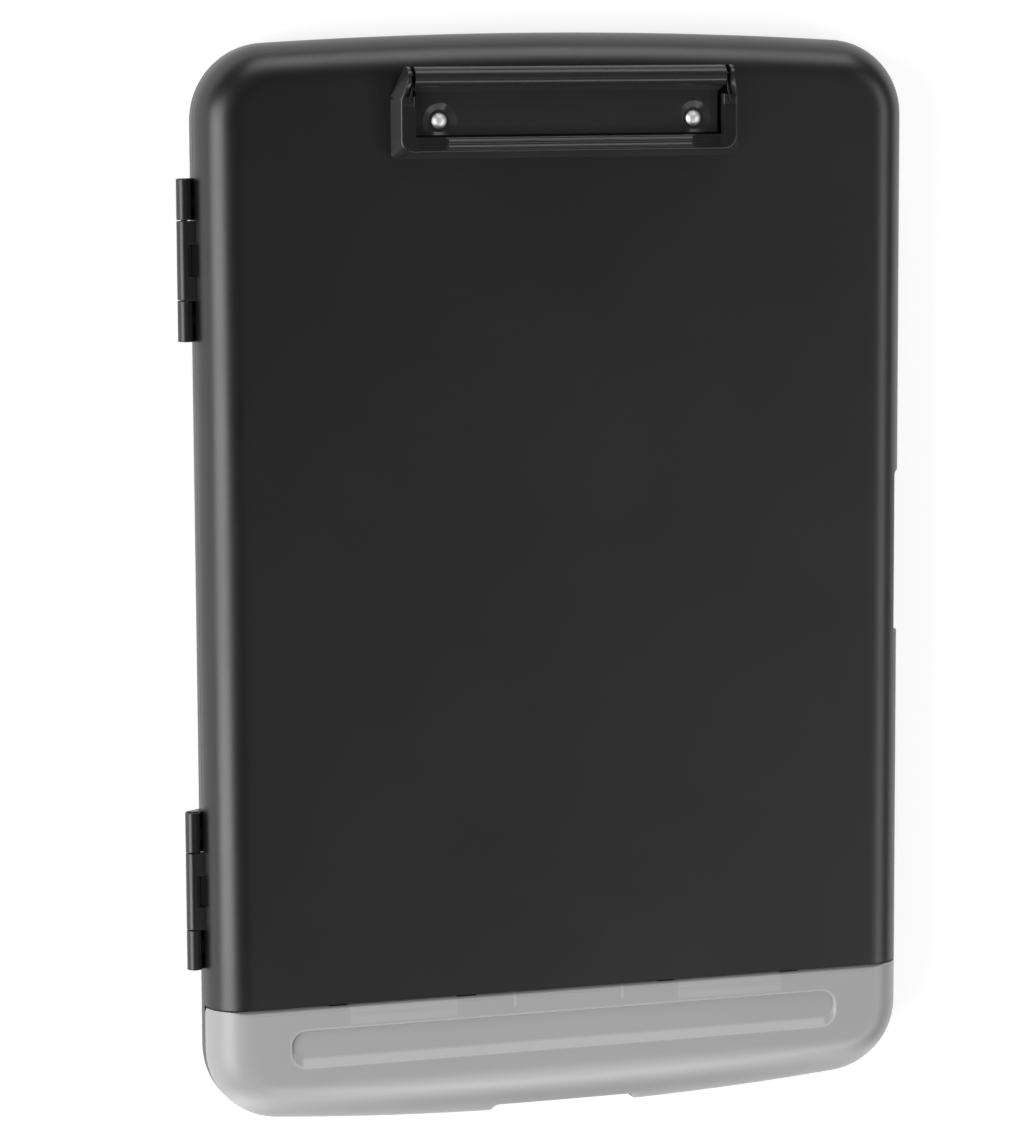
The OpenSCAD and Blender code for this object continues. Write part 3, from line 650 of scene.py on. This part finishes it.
# The hinge edge of the door: a round nose on top and a cut-away heel below the axis
def shapeHingeEdge(bm):
    y0 = door["axisY"]
    z0 = door["axisZ"]
    nose = door["nose"]
    noseAngle = math.acos((nose - case["wall"]) / nose)
    stops = [y0 + nose * math.sin(noseAngle * i / door["noseSteps"])
             for i in range(door["noseSteps"] + 1)]
    keepSide(bm, (0, stops[-1], 0), (0, -1, 0))
    for stop in stops[:-1]:
        crossCut(bm, (0, stop, 0), (0, 1, 0), lambda p: p.y > y0 - door["hingeBand"])
    for vert in bm.verts:
        ahead = vert.co.y - y0
        if ahead > 0:
            vert.co.z = min(vert.co.z, z0 + math.sqrt(max(nose ** 2 - ahead ** 2, 0)))
            drop = z0 - vert.co.z
            if drop > 0:
                limit = math.sqrt(max(door["heel"] ** 2 - drop ** 2, 0))
                vert.co.y = min(vert.co.y, y0 + limit)
    bmesh.ops.remove_doubles(bm, verts=bm.verts, dist=0.002)
    bmesh.ops.dissolve_degenerate(bm, edges=bm.edges, dist=0.002)


# Rounded rectangle at one height, as vertices for a hull
def addPlate(bm, halfX, lowY, highY, z, corner):
    part = bmesh.new()
    outline = [(-halfX, lowY, z), (halfX, lowY, z), (halfX, highY, z), (-halfX, highY, z)]
    part.faces.new([part.verts.new(point) for point in outline])
    bevelCorners(part, part.verts[:], corner, 8)
    absorb(bm, part)


def penGrooveTool():
    bm = bmesh.new()
    top = door["grooveTop"]
    low = top - door["grooveWidth"]
    inset = door["grooveInset"]
    flare = door["grooveFlare"]
    slope = door["grooveSlope"] * (1 + door["grooveLift"] / door["grooveDepth"])
    addPlate(bm, door["grooveHalf"] - inset, low + door["grooveSlope"], top - inset,
             case["height"] - door["grooveDepth"], door["grooveFloorCorner"])
    addPlate(bm, door["grooveHalf"] + flare, low + door["grooveSlope"] - slope, top + flare,
             case["height"] + door["grooveLift"], door["grooveCorner"])
    hull = bmesh.ops.convex_hull(bm, input=bm.verts[:])
    bmesh.ops.delete(bm, geom=[f for f in bm.faces if f not in hull["geom"]], context="FACES_ONLY")
    bmesh.ops.recalc_face_normals(bm, faces=bm.faces)
    return bm


# Clears the tray's lugs and their posts, so the door can turn round them
def lugTool():
    bm = bmesh.new()
    reach = door["lugRadius"] + door["lugGap"]
    shoulder = door["lugRadius"] - door["lugGap"]
    steps = door["lugArcSteps"]
    turns = [rad(door["lugArc"] * i / steps) for i in range(steps + 1)]
    outline = [(-reach, -door["lugFoot"])]
    outline += [(-reach * math.cos(turn), reach * math.sin(turn)) for turn in turns]
    outline += [(reach * door["lugShoulder"], shoulder), (2 * door["lugRadius"], shoulder),
                (2 * door["lugRadius"], -door["lugFoot"])]
    near = door["knuckleX"] - 2 * door["lugGap"] - door["lugLength"]
    far = door["knuckleX"] + door["knuckleLength"]
    length = door["lugLength"] + 2 * door["lugGap"]
    for x in (near, far, -near - length, -far - length):
        addPrism(bm, [(x, door["axisY"] + y, door["axisZ"] + z) for y, z in outline], (length, 0, 0))
    return bm


def makeDoor():
    bm = caseSkin(case["coverRim"], case["height"], case["coverEdge"])
    shapeHingeEdge(bm)
    crownLowEdge(bm)
    pressNotch(bm, notches["end"])
    bm = thickened(bm, case["wall"])
    bm = combined(bm, penGrooveTool(), "DIFFERENCE")
    # the exact solver loses the shell here, because the nose is folded tightly on its inside
    bm = combined(bm, lugTool(), "DIFFERENCE", "FAST")
    y0 = door["axisY"]
    z0 = door["axisZ"]
    rootY, rootZ = door["knuckleRoot"]
    for side in (-1, 1):
        near = side * door["knuckleX"]
        far = near + side * door["knuckleLength"]
        addBar(bm, (near, y0, z0), (far, y0, z0), door["roll"] - door["knuckleInset"],
               rounding=door["knuckleRound"])
        addBox(bm, (min(near, far), y0 - rootY, z0), (max(near, far), y0, z0 + rootZ),
               door["knuckleRound"])
        x = side * door["ribX"]
        addBox(bm, (x - door["ribWidth"] / 2, y0, z0 - door["ribLow"]),
               (x + door["ribWidth"] / 2, y0 + door["ribReach"], z0 + door["ribTop"]),
               door["ribRound"])
    finishPiece("penDoorShell", bm, "pen_door", doorFinish, ["pen_door"],
                rounding=0.25)


makeDoor()


# ---- tray ----

tray = {
    "edgeRadius": 9.0,
    "dividerLow": -131.4,
    "dividerHigh": -129.6,
    "dividerTop": 22.6,
    "dividerHalf": 114.6,
    "dividerFoot": 1.0,
    "dividerCorner": 10.1,
    "postHalf": 0.9,
    "postFoot": 4.0,
    "postTop": 17.0,
    "postShoulder": 18.4,
    "tabWidth": 16.0,
    "tabThickness": 1.3,
    "tabFoot": 1.5,
    "tabTop": 16.5,
    "tabGap": 0.3,
    "tabRoot": 1.0,
    "tabRootTop": 11.0,
    "tabSink": 0.1,
    "bead": 0.22,
    "beadDrop": 1.4,
    "beadInset": 1.0,
}


# Wall between the paper and pen compartments, rounded to fit under the covers
def addDivider(bm):
    part = bmesh.new()
    half = tray["dividerHalf"]
    low = tray["dividerFoot"]
    outline = [(-half, low), (half, low), (half, tray["dividerTop"]), (-half, tray["dividerTop"])]
    part.faces.new([part.verts.new((x, tray["dividerLow"], z)) for x, z in outline])
    bevelCorners(part, [v for v in part.verts if v.co.z > low], tray["dividerCorner"], 12)
    bevelCorners(part, [v for v in part.verts if v.co.z <= low], tray["edgeRadius"], 12)
    grown = bmesh.ops.extrude_face_region(part, geom=part.faces[:])["geom"]
    move(part, vertsIn(grown), y=tray["dividerHigh"] - tray["dividerLow"])
    bmesh.ops.recalc_face_normals(part, faces=part.faces)
    absorb(bm, part)


# Post and eye that hold one end of a door pin
def addLug(bm, x, length):
    y0 = door["axisY"]
    z0 = door["axisZ"]
    addBar(bm, (x, y0, z0), (x + length, y0, z0), door["lugRadius"], rounding=0.15)
    half = tray["postHalf"]
    foot = tray["dividerLow"] + half
    floor = tray["dividerFoot"]
    outline = [(y0 - half, z0), (y0 - half, tray["postTop"]), (foot - tray["postFoot"], floor),
               (foot, floor), (foot, tray["postTop"]), (y0 + half, tray["postShoulder"]),
               (y0 + half, z0)]
    addPrism(bm, [(x, y, z) for y, z in outline], (length, 0, 0), 0.1)


# Springy catch tab behind a notch, with its bead and the web at its root
def addTab(bm, settings):
    out = Vector(settings["out"])
    along = Vector(settings["along"])
    middle = along * Vector((*settings["middle"], 0)).dot(along)
    face = settings["floor"] - case["wall"] - tray["tabGap"]
    half = tray["tabWidth"] / 2

    def corner(outward, sideways, z):
        return out * outward + middle + along * sideways + Vector((0, 0, z))

    def boxBetween(a, b, radius):
        low = [min(p, q) for p, q in zip(a, b)]
        high = [max(p, q) for p, q in zip(a, b)]
        addBox(bm, low, high, radius)

    boxBetween(corner(face - tray["tabThickness"], -half, tray["tabFoot"]),
               corner(face, half, tray["tabTop"]), 0.3)
    boxBetween(corner(face - tray["tabSink"], -half, tray["tabFoot"]),
               corner(face + tray["tabRoot"], half, tray["tabRootTop"]), 0.1)
    beadEnd = half - tray["beadInset"]
    beadTop = tray["tabTop"] - tray["beadDrop"]
    addBar(bm, corner(face, -beadEnd, beadTop), corner(face, beadEnd, beadTop), tray["bead"], sides=16)


def makeTray():
    bm = caseSkin(case["rim"], 0.0, tray["edgeRadius"])
    for settings in notches.values():
        pressNotch(bm, settings)
    bm = thickened(bm, case["wall"])
    addDivider(bm)
    for settings in notches.values():
        addTab(bm, settings)
    near = door["knuckleX"] - door["lugGap"] - door["lugLength"]
    far = door["knuckleX"] + door["knuckleLength"] + door["lugGap"]
    for x in (near, far):
        addLug(bm, x, door["lugLength"])
        addLug(bm, -x - door["lugLength"], door["lugLength"])
    addTrayHinges(bm)
    finishPiece("trayShell", bm, "tray", caseFinish, ["base_tray"], rounding=0.25)


makeTray()


# ---- clip: plate ----

clip = {
    "axisY": 159.2,
    "axisZ": 29.0,
    "barrelHalf": 51.0,
    "flatHalf": 49.7,
    "frontY": 141.6,
    "plateZ": 26.5,
    "sheet": 1.0,
    "widening": 0.8,
    "curlY": 159.4,
    "curlZ": 28.85,
    "curlRadius": 2.85,
    "curlSteps": 64,
    "hemBend": 0.6,
    "hemZ": 27.52,
    "hemY": 154.7,
    "rivetX": 41.9,
    "rivetY": 146.0,
    "dishFloor": 3.5,
    "dishDepth": 1.0,
    "dishSlope": 2.0,
    "dishRim": 0.3,
    "dishHeight": 1.5,
    "dishLimit": 10.0,
    "dishCut": 2.0,
}


# Cone that opens upwards round a rivet, for the metal of a dish or for its hollow
def dishCone(x, low, height, radius):
    tool = bmesh.new()
    addBar(tool, (x, clip["rivetY"], low), (x, clip["rivetY"], low + height), radius,
           radius + height * clip["dishSlope"], sides=64)
    return tool


# Plate with a dish pressed down to the lid, kept behind the front edge of the plate
def withDish(bm, x):
    base = case["height"]
    reach = clip["dishLimit"]
    limit = bmesh.new()
    addBox(limit, (x - reach, clip["frontY"], base - 1), (x + reach, clip["rivetY"] + reach, base + 2))
    metal = dishCone(x, base, clip["dishHeight"], clip["dishFloor"] + clip["dishRim"])
    bm = combined(bm, combined(metal, limit, "INTERSECT"), "UNION")
    hollow = dishCone(x, base + clip["dishDepth"], clip["dishCut"], clip["dishFloor"])
    return combined(bm, hollow, "DIFFERENCE")


# One sheet: flat to the curl, rolled round the rod, then bent forward as a hem that lies on the
# flat, with a dish for each rivet
def makePlate():
    bm = bmesh.new()
    radius = clip["curlRadius"]
    bend = clip["hemBend"]
    startAngle = 180 + math.degrees(math.asin((clip["curlZ"] - clip["plateZ"]) / radius))
    endAngle = 180 + math.degrees(math.asin((clip["curlZ"] - clip["hemZ"] - bend) / (radius + bend)))
    kinkY = clip["curlY"] + radius * math.cos(rad(startAngle))
    edge = [bm.verts.new((side * clip["flatHalf"], clip["frontY"], clip["plateZ"])) for side in (-1, 1)]
    bm.edges.new(edge)

    def pushed(edges, y, widen=1.0):
        verts, far = extrudeEdges(bm, edges)
        move(bm, verts, y=y)
        bmesh.ops.scale(bm, vec=(widen, 1, 1), verts=verts)
        return far

    def rolled(edges, centreY, centreZ, angle, steps):
        made = bmesh.ops.spin(bm, geom=edges + list({v for e in edges for v in e.verts}),
                              cent=(0, centreY, centreZ), axis=(1, 0, 0), angle=rad(angle),
                              steps=steps)
        return edgesIn(made["geom_last"])

    wider = clip["barrelHalf"] / clip["flatHalf"]
    row = pushed(bm.edges[:], kinkY - clip["widening"] - clip["frontY"])
    row = pushed(row, clip["widening"], wider)
    row = rolled(row, clip["curlY"], clip["curlZ"], 360 - startAngle + endAngle, clip["curlSteps"])
    bendY = clip["curlY"] + (radius + bend) * math.cos(rad(endAngle))
    row = rolled(row, bendY, clip["hemZ"] + bend, 90 - endAngle, 8)
    pushed(row, clip["hemY"] - bendY, 1 / wider)
    bmesh.ops.remove_doubles(bm, verts=bm.verts, dist=0.001)
    bmesh.ops.recalc_face_normals(bm, faces=bm.faces)
    bm = thickened(bm, clip["sheet"], 0.0)
    for side in (-1, 1):
        bm = withDish(bm, side * clip["rivetX"])
    finishPiece("clipPlate", bm, "lid", clipFinish, ["clip_base_plate"], smooth=20,
                rounding=0.22)


makePlate()


# ---- clip: jaw ----

jaw = {
    "frontTop": 136.3,
    "barBack": 141.0,
    "armBack": 153.6,
    "outX": 55.2,
    "inX": 50.6,
    "lowZ": 25.3,
    "topZ": 30.3,
    "lean": 2.1,
    "corner": 4.4,
    "footCorner": 2.0,
    "lip": 2.5,
    "sheet": 0.9,
    "rimRound": 0.6,
    "barSteps": (64, 24),
    "ridgeHalf": 40.0,
    "ridgeHeight": 0.5,
    "ridgeWidth": 0.5,
    "ridges": (139.7, 137.8),
    "barSink": 0.12,
    "barFade": 0.3,
    "scoopHalf": 14.5,
    "scoopDepth": 0.9,
    "scoopBand": 0.7,
    "earX": 53.0,
    "earHalf": 0.5,
    "earRadius": 3.6,
    "cheekRoot": 1.0,
}


# U-shaped pressing: top rim, leaning outer wall and a short inner lip
def jawFrame():
    bm = bmesh.new()
    bmesh.ops.create_grid(bm, x_segments=5, y_segments=2, size=1.0)
    columns = (-jaw["outX"], -jaw["inX"], -jaw["ridgeHalf"], jaw["ridgeHalf"], jaw["inX"], jaw["outX"])
    rows = (jaw["frontTop"], jaw["barBack"], jaw["armBack"])
    for vert in bm.verts:
        vert.co = (columns[round((vert.co.x + 1) / 2 * 5)], rows[round(vert.co.y + 1)], jaw["topZ"])
    middle = [f for f in bm.faces if abs(f.calc_center_median().x) < jaw["inX"]
              and f.calc_center_median().y > jaw["barBack"]]
    bmesh.ops.delete(bm, geom=middle, context="FACES")
    corners = [v for v in bm.verts if abs(v.co.x) > jaw["inX"] + 1 and v.co.y < jaw["frontTop"] + 0.1]
    bevelCorners(bm, corners, jaw["corner"], 10)
    centreX = jaw["outX"] - jaw["corner"]
    centreY = jaw["frontTop"] + jaw["corner"]

    def onRim(vert):
        x = abs(vert.co.x)
        y = vert.co.y
        return x > jaw["outX"] - 0.01 or y < jaw["frontTop"] + 0.01 or (x > centreX and y < centreY)

    outer = [e for e in bm.edges if e.is_boundary and all(onRim(v) for v in e.verts)]
    inner = [e for e in bm.edges if e.is_boundary and all(
        abs(v.co.x) < jaw["inX"] + 0.01 and v.co.y > jaw["barBack"] - 0.01 for v in e.verts)]
    footX = jaw["outX"] + jaw["lean"] - jaw["footCorner"]
    footY = jaw["frontTop"] - jaw["lean"] + jaw["footCorner"]
    for vert in extrudeEdges(bm, outer)[0]:
        x = abs(vert.co.x)
        y = vert.co.y
        away = Vector((max(x - centreX, 0), min(y - centreY, 0))).normalized()
        if x > centreX - 0.01 and y < centreY + 0.01:  # round the corner, on the tighter foot
            x = footX + away.x * jaw["footCorner"]
            y = footY + away.y * jaw["footCorner"]
        else:
            x += away.x * jaw["lean"]
            y += away.y * jaw["lean"]
        vert.co = (x if vert.co.x > 0 else -x, y, jaw["lowZ"])
    move(bm, extrudeEdges(bm, inner)[0], z=-jaw["lip"])
    bmesh.ops.recalc_face_normals(bm, faces=bm.faces)
    rims = [e for e in bm.edges if not e.is_boundary and e.calc_face_angle(0) > rad(40)
            and all(v.co.z > jaw["topZ"] - 0.01 for v in e.verts)]
    bevelEdges(bm, rims, jaw["rimRound"], 4)
    bar = [f for f in bm.faces if f.normal.z > 0.99 and abs(f.calc_center_median().x) < 1]
    bmesh.ops.delete(bm, geom=bar, context="FACES_ONLY")
    return bm


# Middle of the front bar: two pressed ridges, dipping at the finger scoop
def jawBar():
    bm = bmesh.new()
    across, along = jaw["barSteps"]
    front = jaw["frontTop"] + jaw["rimRound"] * 0.9
    back = jaw["barBack"] - jaw["rimRound"] * 0.9
    bmesh.ops.create_grid(bm, x_segments=across, y_segments=along, size=1.0)
    for vert in bm.verts:
        y = front + (back - front) * (vert.co.y + 1) / 2
        ridge = max(math.exp(-((y - crest) / jaw["ridgeWidth"]) ** 2) for crest in jaw["ridges"])
        edge = min((y - front) / jaw["barFade"], (back - y) / jaw["barFade"], 1.0)
        z = jaw["topZ"] + edge * (jaw["ridgeHeight"] * ridge - jaw["barSink"])
        vert.co = (vert.co.x * jaw["ridgeHalf"], y, z)
    return bm


# Finger scoop: the top of the bar and its two rims dip in the middle
def scoop(bm):
    for vert in bm.verts:
        near = 1 - (vert.co.x / jaw["scoopHalf"]) ** 2
        onBar = vert.co.y < jaw["barBack"] + 0.1 and vert.co.z > jaw["topZ"] - jaw["scoopBand"]
        if near > 0 and onBar:
            vert.co.z -= jaw["scoopDepth"] * near


# Cheek that narrows from the leaning end of the arm to the ear round the rod
def addCheek(bm, side):
    part = bmesh.new()
    for z, outer in ((jaw["lowZ"], jaw["outX"] + jaw["lean"]), (jaw["topZ"], jaw["outX"])):
        for x in (outer - jaw["sheet"], outer):
            for y in (jaw["armBack"] - jaw["cheekRoot"], jaw["armBack"]):
                part.verts.new((side * x, y, z))
    ends = [(side * (jaw["earX"] + way * jaw["earHalf"]), clip["axisY"], clip["axisZ"])
            for way in (-1, 1)]
    addBar(part, *ends, jaw["earRadius"], sides=40)
    hull = bmesh.ops.convex_hull(part, input=part.verts[:])
    bmesh.ops.delete(part, geom=[f for f in part.faces if f not in hull["geom"]],
                     context="FACES_ONLY")
    bmesh.ops.delete(part, geom=[v for v in part.verts if not v.link_faces], context="VERTS")
    bmesh.ops.recalc_face_normals(part, faces=part.faces)
    bmesh.ops.dissolve_limit(part, angle_limit=rad(1), verts=part.verts, edges=part.edges)
    absorb(bm, part)


def makeJaw():
    bm = jawFrame()
    # the long edges beside the bar get the bar's columns, so that they dip with it at the scoop
    longEdges = [e for e in bm.edges
                 if abs(e.verts[0].co.x - e.verts[1].co.x) > 2 * jaw["ridgeHalf"] - 10]
    bmesh.ops.subdivide_edges(bm, edges=longEdges, cuts=jaw["barSteps"][0] - 1, use_grid_fill=True)
    absorb(bm, jawBar())
    scoop(bm)
    bm = thickened(bm, jaw["sheet"])
    for side in (-1, 1):
        addCheek(bm, side)
    finishPiece("clipJaw", bm, "clip_jaw", clipFinish, ["clip_jaw"], smooth=32,
                rounding=0.15)


makeJaw()


# ---- corner grips ----

grip = {
    "outX": 54.7,
    "inX": 50.6,
    "endX": 40.9,
    "frontY": 136.8,
    "backY": 141.0,
    "armY": 150.3,
    "lowZ": 29.8,
    "topZ": 30.5,
    "corner": 3.9,
    "ribs": 4,
    "ribInset": 0.5,
    "ribLength": 8.0,
    "ribRadius": 0.3,
    "ribSink": 0.05,
}


# Rubber pad round one front corner of the jaw, with ribs across its front
def makeGrip(name, side, node):
    bm = bmesh.new()
    outline = [(grip["endX"], grip["frontY"]), (grip["outX"], grip["frontY"]),
               (grip["outX"], grip["armY"]), (grip["inX"], grip["armY"]),
               (grip["inX"], grip["backY"]), (grip["endX"], grip["backY"])]
    bm.faces.new([bm.verts.new((x, y, grip["lowZ"])) for x, y in outline])
    bevelCorners(bm, [v for v in bm.verts if v.co.x > grip["inX"] and v.co.y < grip["backY"]],
                 grip["corner"], 10)
    grown = bmesh.ops.extrude_face_region(bm, geom=bm.faces[:])["geom"]
    move(bm, vertsIn(grown), z=grip["topZ"] - grip["lowZ"])
    bmesh.ops.recalc_face_normals(bm, faces=bm.faces)
    pitch = (grip["backY"] - grip["frontY"]) / grip["ribs"]
    ribX = grip["endX"] + grip["ribInset"]
    ribZ = grip["topZ"] - grip["ribSink"]
    for i in range(grip["ribs"]):
        y = grip["frontY"] + pitch * (i + 0.5)
        addBar(bm, (ribX, y, ribZ), (ribX + grip["ribLength"], y, ribZ), grip["ribRadius"],
               rounding=0.1, sides=16)
    if side < 0:
        bmesh.ops.scale(bm, vec=(-1, 1, 1), verts=bm.verts)
        bmesh.ops.reverse_faces(bm, faces=bm.faces)
    finishPiece(name, bm, "clip_jaw", gripFinish, [node], smooth=30, rounding=0.15)


makeGrip("leftGrip", -1, "left_corner_grip")
makeGrip("rightGrip", 1, "right_corner_grip")


# ---- springs, rod, rivets ----

spring = {
    "wire": 0.4,
    "wireSides": 12,
    "coil": 1.74,
    "turns": 6,
    "turnSteps": 24,
    "pitch": 1.25,
    "legX": 51.75,
    "leg": ((0.3, 0.0), (0.3, 0.3), (0.4, 0.9)),  # share of the reach, outward splay
    "legReach": 7.9,
}


# Round wire wound inwards on the rod, with a leg that bears on the jaw's arm
def makeSpring(name, side, node):
    bm = bmesh.new()
    ring = bmesh.ops.create_circle(bm, segments=spring["wireSides"], radius=spring["wire"])["verts"]
    bmesh.ops.rotate(bm, cent=(0, 0, 0), matrix=Matrix.Rotation(rad(90), 3, "X"), verts=ring)
    move(bm, ring, spring["legX"], clip["axisY"], clip["axisZ"] + spring["coil"])
    leg = bm.edges[:]
    bmesh.ops.spin(bm, geom=ring + leg, cent=(0, clip["axisY"], clip["axisZ"]), axis=(1, 0, 0),
                   dvec=(-spring["pitch"] / spring["turnSteps"], 0, 0),
                   angle=-rad(360 * spring["turns"]), steps=spring["turnSteps"] * spring["turns"])
    for share, splay in spring["leg"]:
        verts, leg = extrudeEdges(bm, leg)
        move(bm, verts, x=splay, y=-spring["legReach"] * share)
    bmesh.ops.holes_fill(bm, edges=bm.edges, sides=spring["wireSides"])
    if side < 0:
        bmesh.ops.scale(bm, vec=(-1, 1, 1), verts=bm.verts)
    bmesh.ops.remove_doubles(bm, verts=bm.verts, dist=0.0005)
    bmesh.ops.recalc_face_normals(bm, faces=bm.faces)
    finishPiece(name, bm, "clip_jaw", springFinish, [node], smooth=50)


makeSpring("leftSpring", -1, "left_clip_spring")
makeSpring("rightSpring", 1, "right_clip_spring")

rivet = {
    "head": 2.5,
    "headHeight": 1.2,
    "shank": 1.6,
    "shankLength": 3.8,
    "tail": 2.3,
    "tailHeight": 0.9,
    "tailTaper": 0.5,
}


# Domed head spun from its profile, the shank through plate and lid, and the formed tail
def makeRivet(name, side, node):
    bm = bmesh.new()
    x = side * clip["rivetX"]
    y = clip["rivetY"]
    base = case["height"] + clip["sheet"]
    dome = (rivet["head"] ** 2 + rivet["headHeight"] ** 2) / (2 * rivet["headHeight"])
    centre = base + rivet["headHeight"] - dome
    crown = bm.verts.new((x, y, centre + dome))
    arc = bmesh.ops.spin(bm, geom=[crown], cent=(x, y, centre), axis=(0, 1, 0),
                         angle=math.asin(rivet["head"] / dome), steps=10)
    previous = vertsIn(arc["geom_last"])[0]
    tailTop = base - rivet["shankLength"]
    tailEnd = tailTop - rivet["tailHeight"]
    for radius, z in ((rivet["shank"], base), (rivet["shank"], tailTop), (rivet["tail"], tailTop),
                      (rivet["tail"] - rivet["tailTaper"], tailEnd), (0, tailEnd)):
        vert = bm.verts.new((x + radius, y, z))
        bm.edges.new((previous, vert))
        previous = vert
    bmesh.ops.spin(bm, geom=bm.verts[:] + bm.edges[:], cent=(x, y, 0), axis=(0, 0, 1),
                   angle=rad(360), steps=40, use_merge=True)
    bmesh.ops.remove_doubles(bm, verts=bm.verts, dist=0.001)
    bmesh.ops.recalc_face_normals(bm, faces=bm.faces)
    finishPiece(name, bm, "lid", rivetFinish, [node], smooth=30, rounding=0.08)


makeRivet("leftRivetStud", -1, "left_rivet")
makeRivet("rightRivetStud", 1, "right_rivet")

# The pins, the rod and the washers keep their solids and take only a finish
for name, finish in (("upper_hinge_pin", springFinish), ("lower_hinge_pin", springFinish),
                     ("left_pen_door_pin", pinFinish), ("right_pen_door_pin", pinFinish),
                     ("clip_pivot_rod", clipFinish), ("left_rivet_washer", rivetFinish),
                     ("right_rivet_washer", rivetFinish)):
    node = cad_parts[name]
    node.data.materials.clear()
    node.data.materials.append(finish)
print("clip and pins made")


# ---- studio ----

studio = {
    "floor": "#DCDCDC",
    "floorSize": 6.0,
    "floorGlow": 0.58,
    "worldGrey": 0.055,
    "pitch": 7.28,
    "yaw": 17.64,
    "roll": 0.28,
    "aim": (-10.1, -0.5, 1361.0),
    "focalPixels": 4213.0,
    "framePixels": 1148.0,
    "sensor": 36.0,
}

# direction to the lamp, distance, length, width, watts, axis of the case that its length follows
lamps = {
    "leftSoftbox": ((-0.86, -0.13, 0.49), 1.5, 1.6, 0.95, 25.0, (0, 1, 0)),
    "rightSoftbox": ((0.78, -0.13, 0.61), 1.5, 1.6, 0.5, 6.5, (0, 1, 0)),
    "topSoftbox": ((0.17, 0.885, 0.42), 1.5, 1.3, 0.7, 8.5, (1, 0, 0)),
    "overheadSoftbox": ((0.30, -0.13, 0.945), 1.46, 0.7, 0.5, 0.35, (1, 0, 0)),
    "lowStrip": ((0.30, -0.64, 0.70), 1.5, 1.1, 0.3, 4.5, (1, 0, 0)),
}


def makeStudio():
    bm = bmesh.new()
    bmesh.ops.create_grid(bm, x_segments=1, y_segments=1, size=studio["floorSize"] / 2)
    floor = asObject(bm, "studioFloor")
    bm.free()
    material, tree, shader = newMaterial("paperFloor", {
        "Base Color": linear(studio["floor"]),
        "Roughness": 0.9,
        "Specular IOR Level": 0.1,
        "Emission Color": (1, 1, 1, 1),
    })
    # the backdrop's white is added only where the camera, a gloss or a glass sees the floor
    path = addNode(tree, "ShaderNodeLightPath").outputs
    seen = maths(tree, "MAXIMUM", path["Is Camera Ray"], path["Is Glossy Ray"])
    seen = maths(tree, "MAXIMUM", seen, path["Is Transmission Ray"])
    glow = maths(tree, "MULTIPLY", seen, studio["floorGlow"])
    tree.links.new(glow, shader.inputs["Emission Strength"])
    floor.data.materials.append(material)
    world = bpy.data.worlds.new("studioWorld")
    world.use_nodes = True
    grey = studio["worldGrey"]
    world.node_tree.nodes["Background"].inputs["Color"].default_value = (grey, grey, grey, 1)
    bpy.context.scene.world = world
    for name, (direction, distance, length, width, watts, edge) in lamps.items():
        data = bpy.data.lights.new(name, "AREA")
        data.shape = "RECTANGLE"
        data.size = length
        data.size_y = width
        data.energy = watts
        lamp = bpy.data.objects.new(name, data)
        bpy.context.scene.collection.objects.link(lamp)
        back = Vector(direction).normalized()
        across = (Vector(edge) - back * Vector(edge).dot(back)).normalized()
        turn = Matrix((across, back.cross(across), back)).transposed()
        lamp.matrix_world = Matrix.Translation(back * distance) @ turn.to_4x4()


def makeCamera():
    turn = (Matrix.Rotation(rad(studio["roll"]), 3, "Z")
            @ Matrix.Rotation(rad(studio["pitch"]), 3, "X")
            @ Matrix.Rotation(rad(studio["yaw"]), 3, "Y")).transposed()
    data = bpy.data.cameras.new("studioCamera")
    data.sensor_width = studio["sensor"]
    data.lens = studio["focalPixels"] / studio["framePixels"] * studio["sensor"]
    data.clip_start = 0.05
    data.clip_end = 20.0
    camera = bpy.data.objects.new("studioCamera", data)
    bpy.context.scene.collection.objects.link(camera)
    place = turn @ Vector(studio["aim"]) * millimetre
    camera.matrix_world = Matrix.Translation(place) @ turn.to_4x4()
    bpy.context.scene.camera = camera


makeStudio()
makeCamera()
bpy.context.scene.view_settings.view_transform = "Standard"
print("studio made")
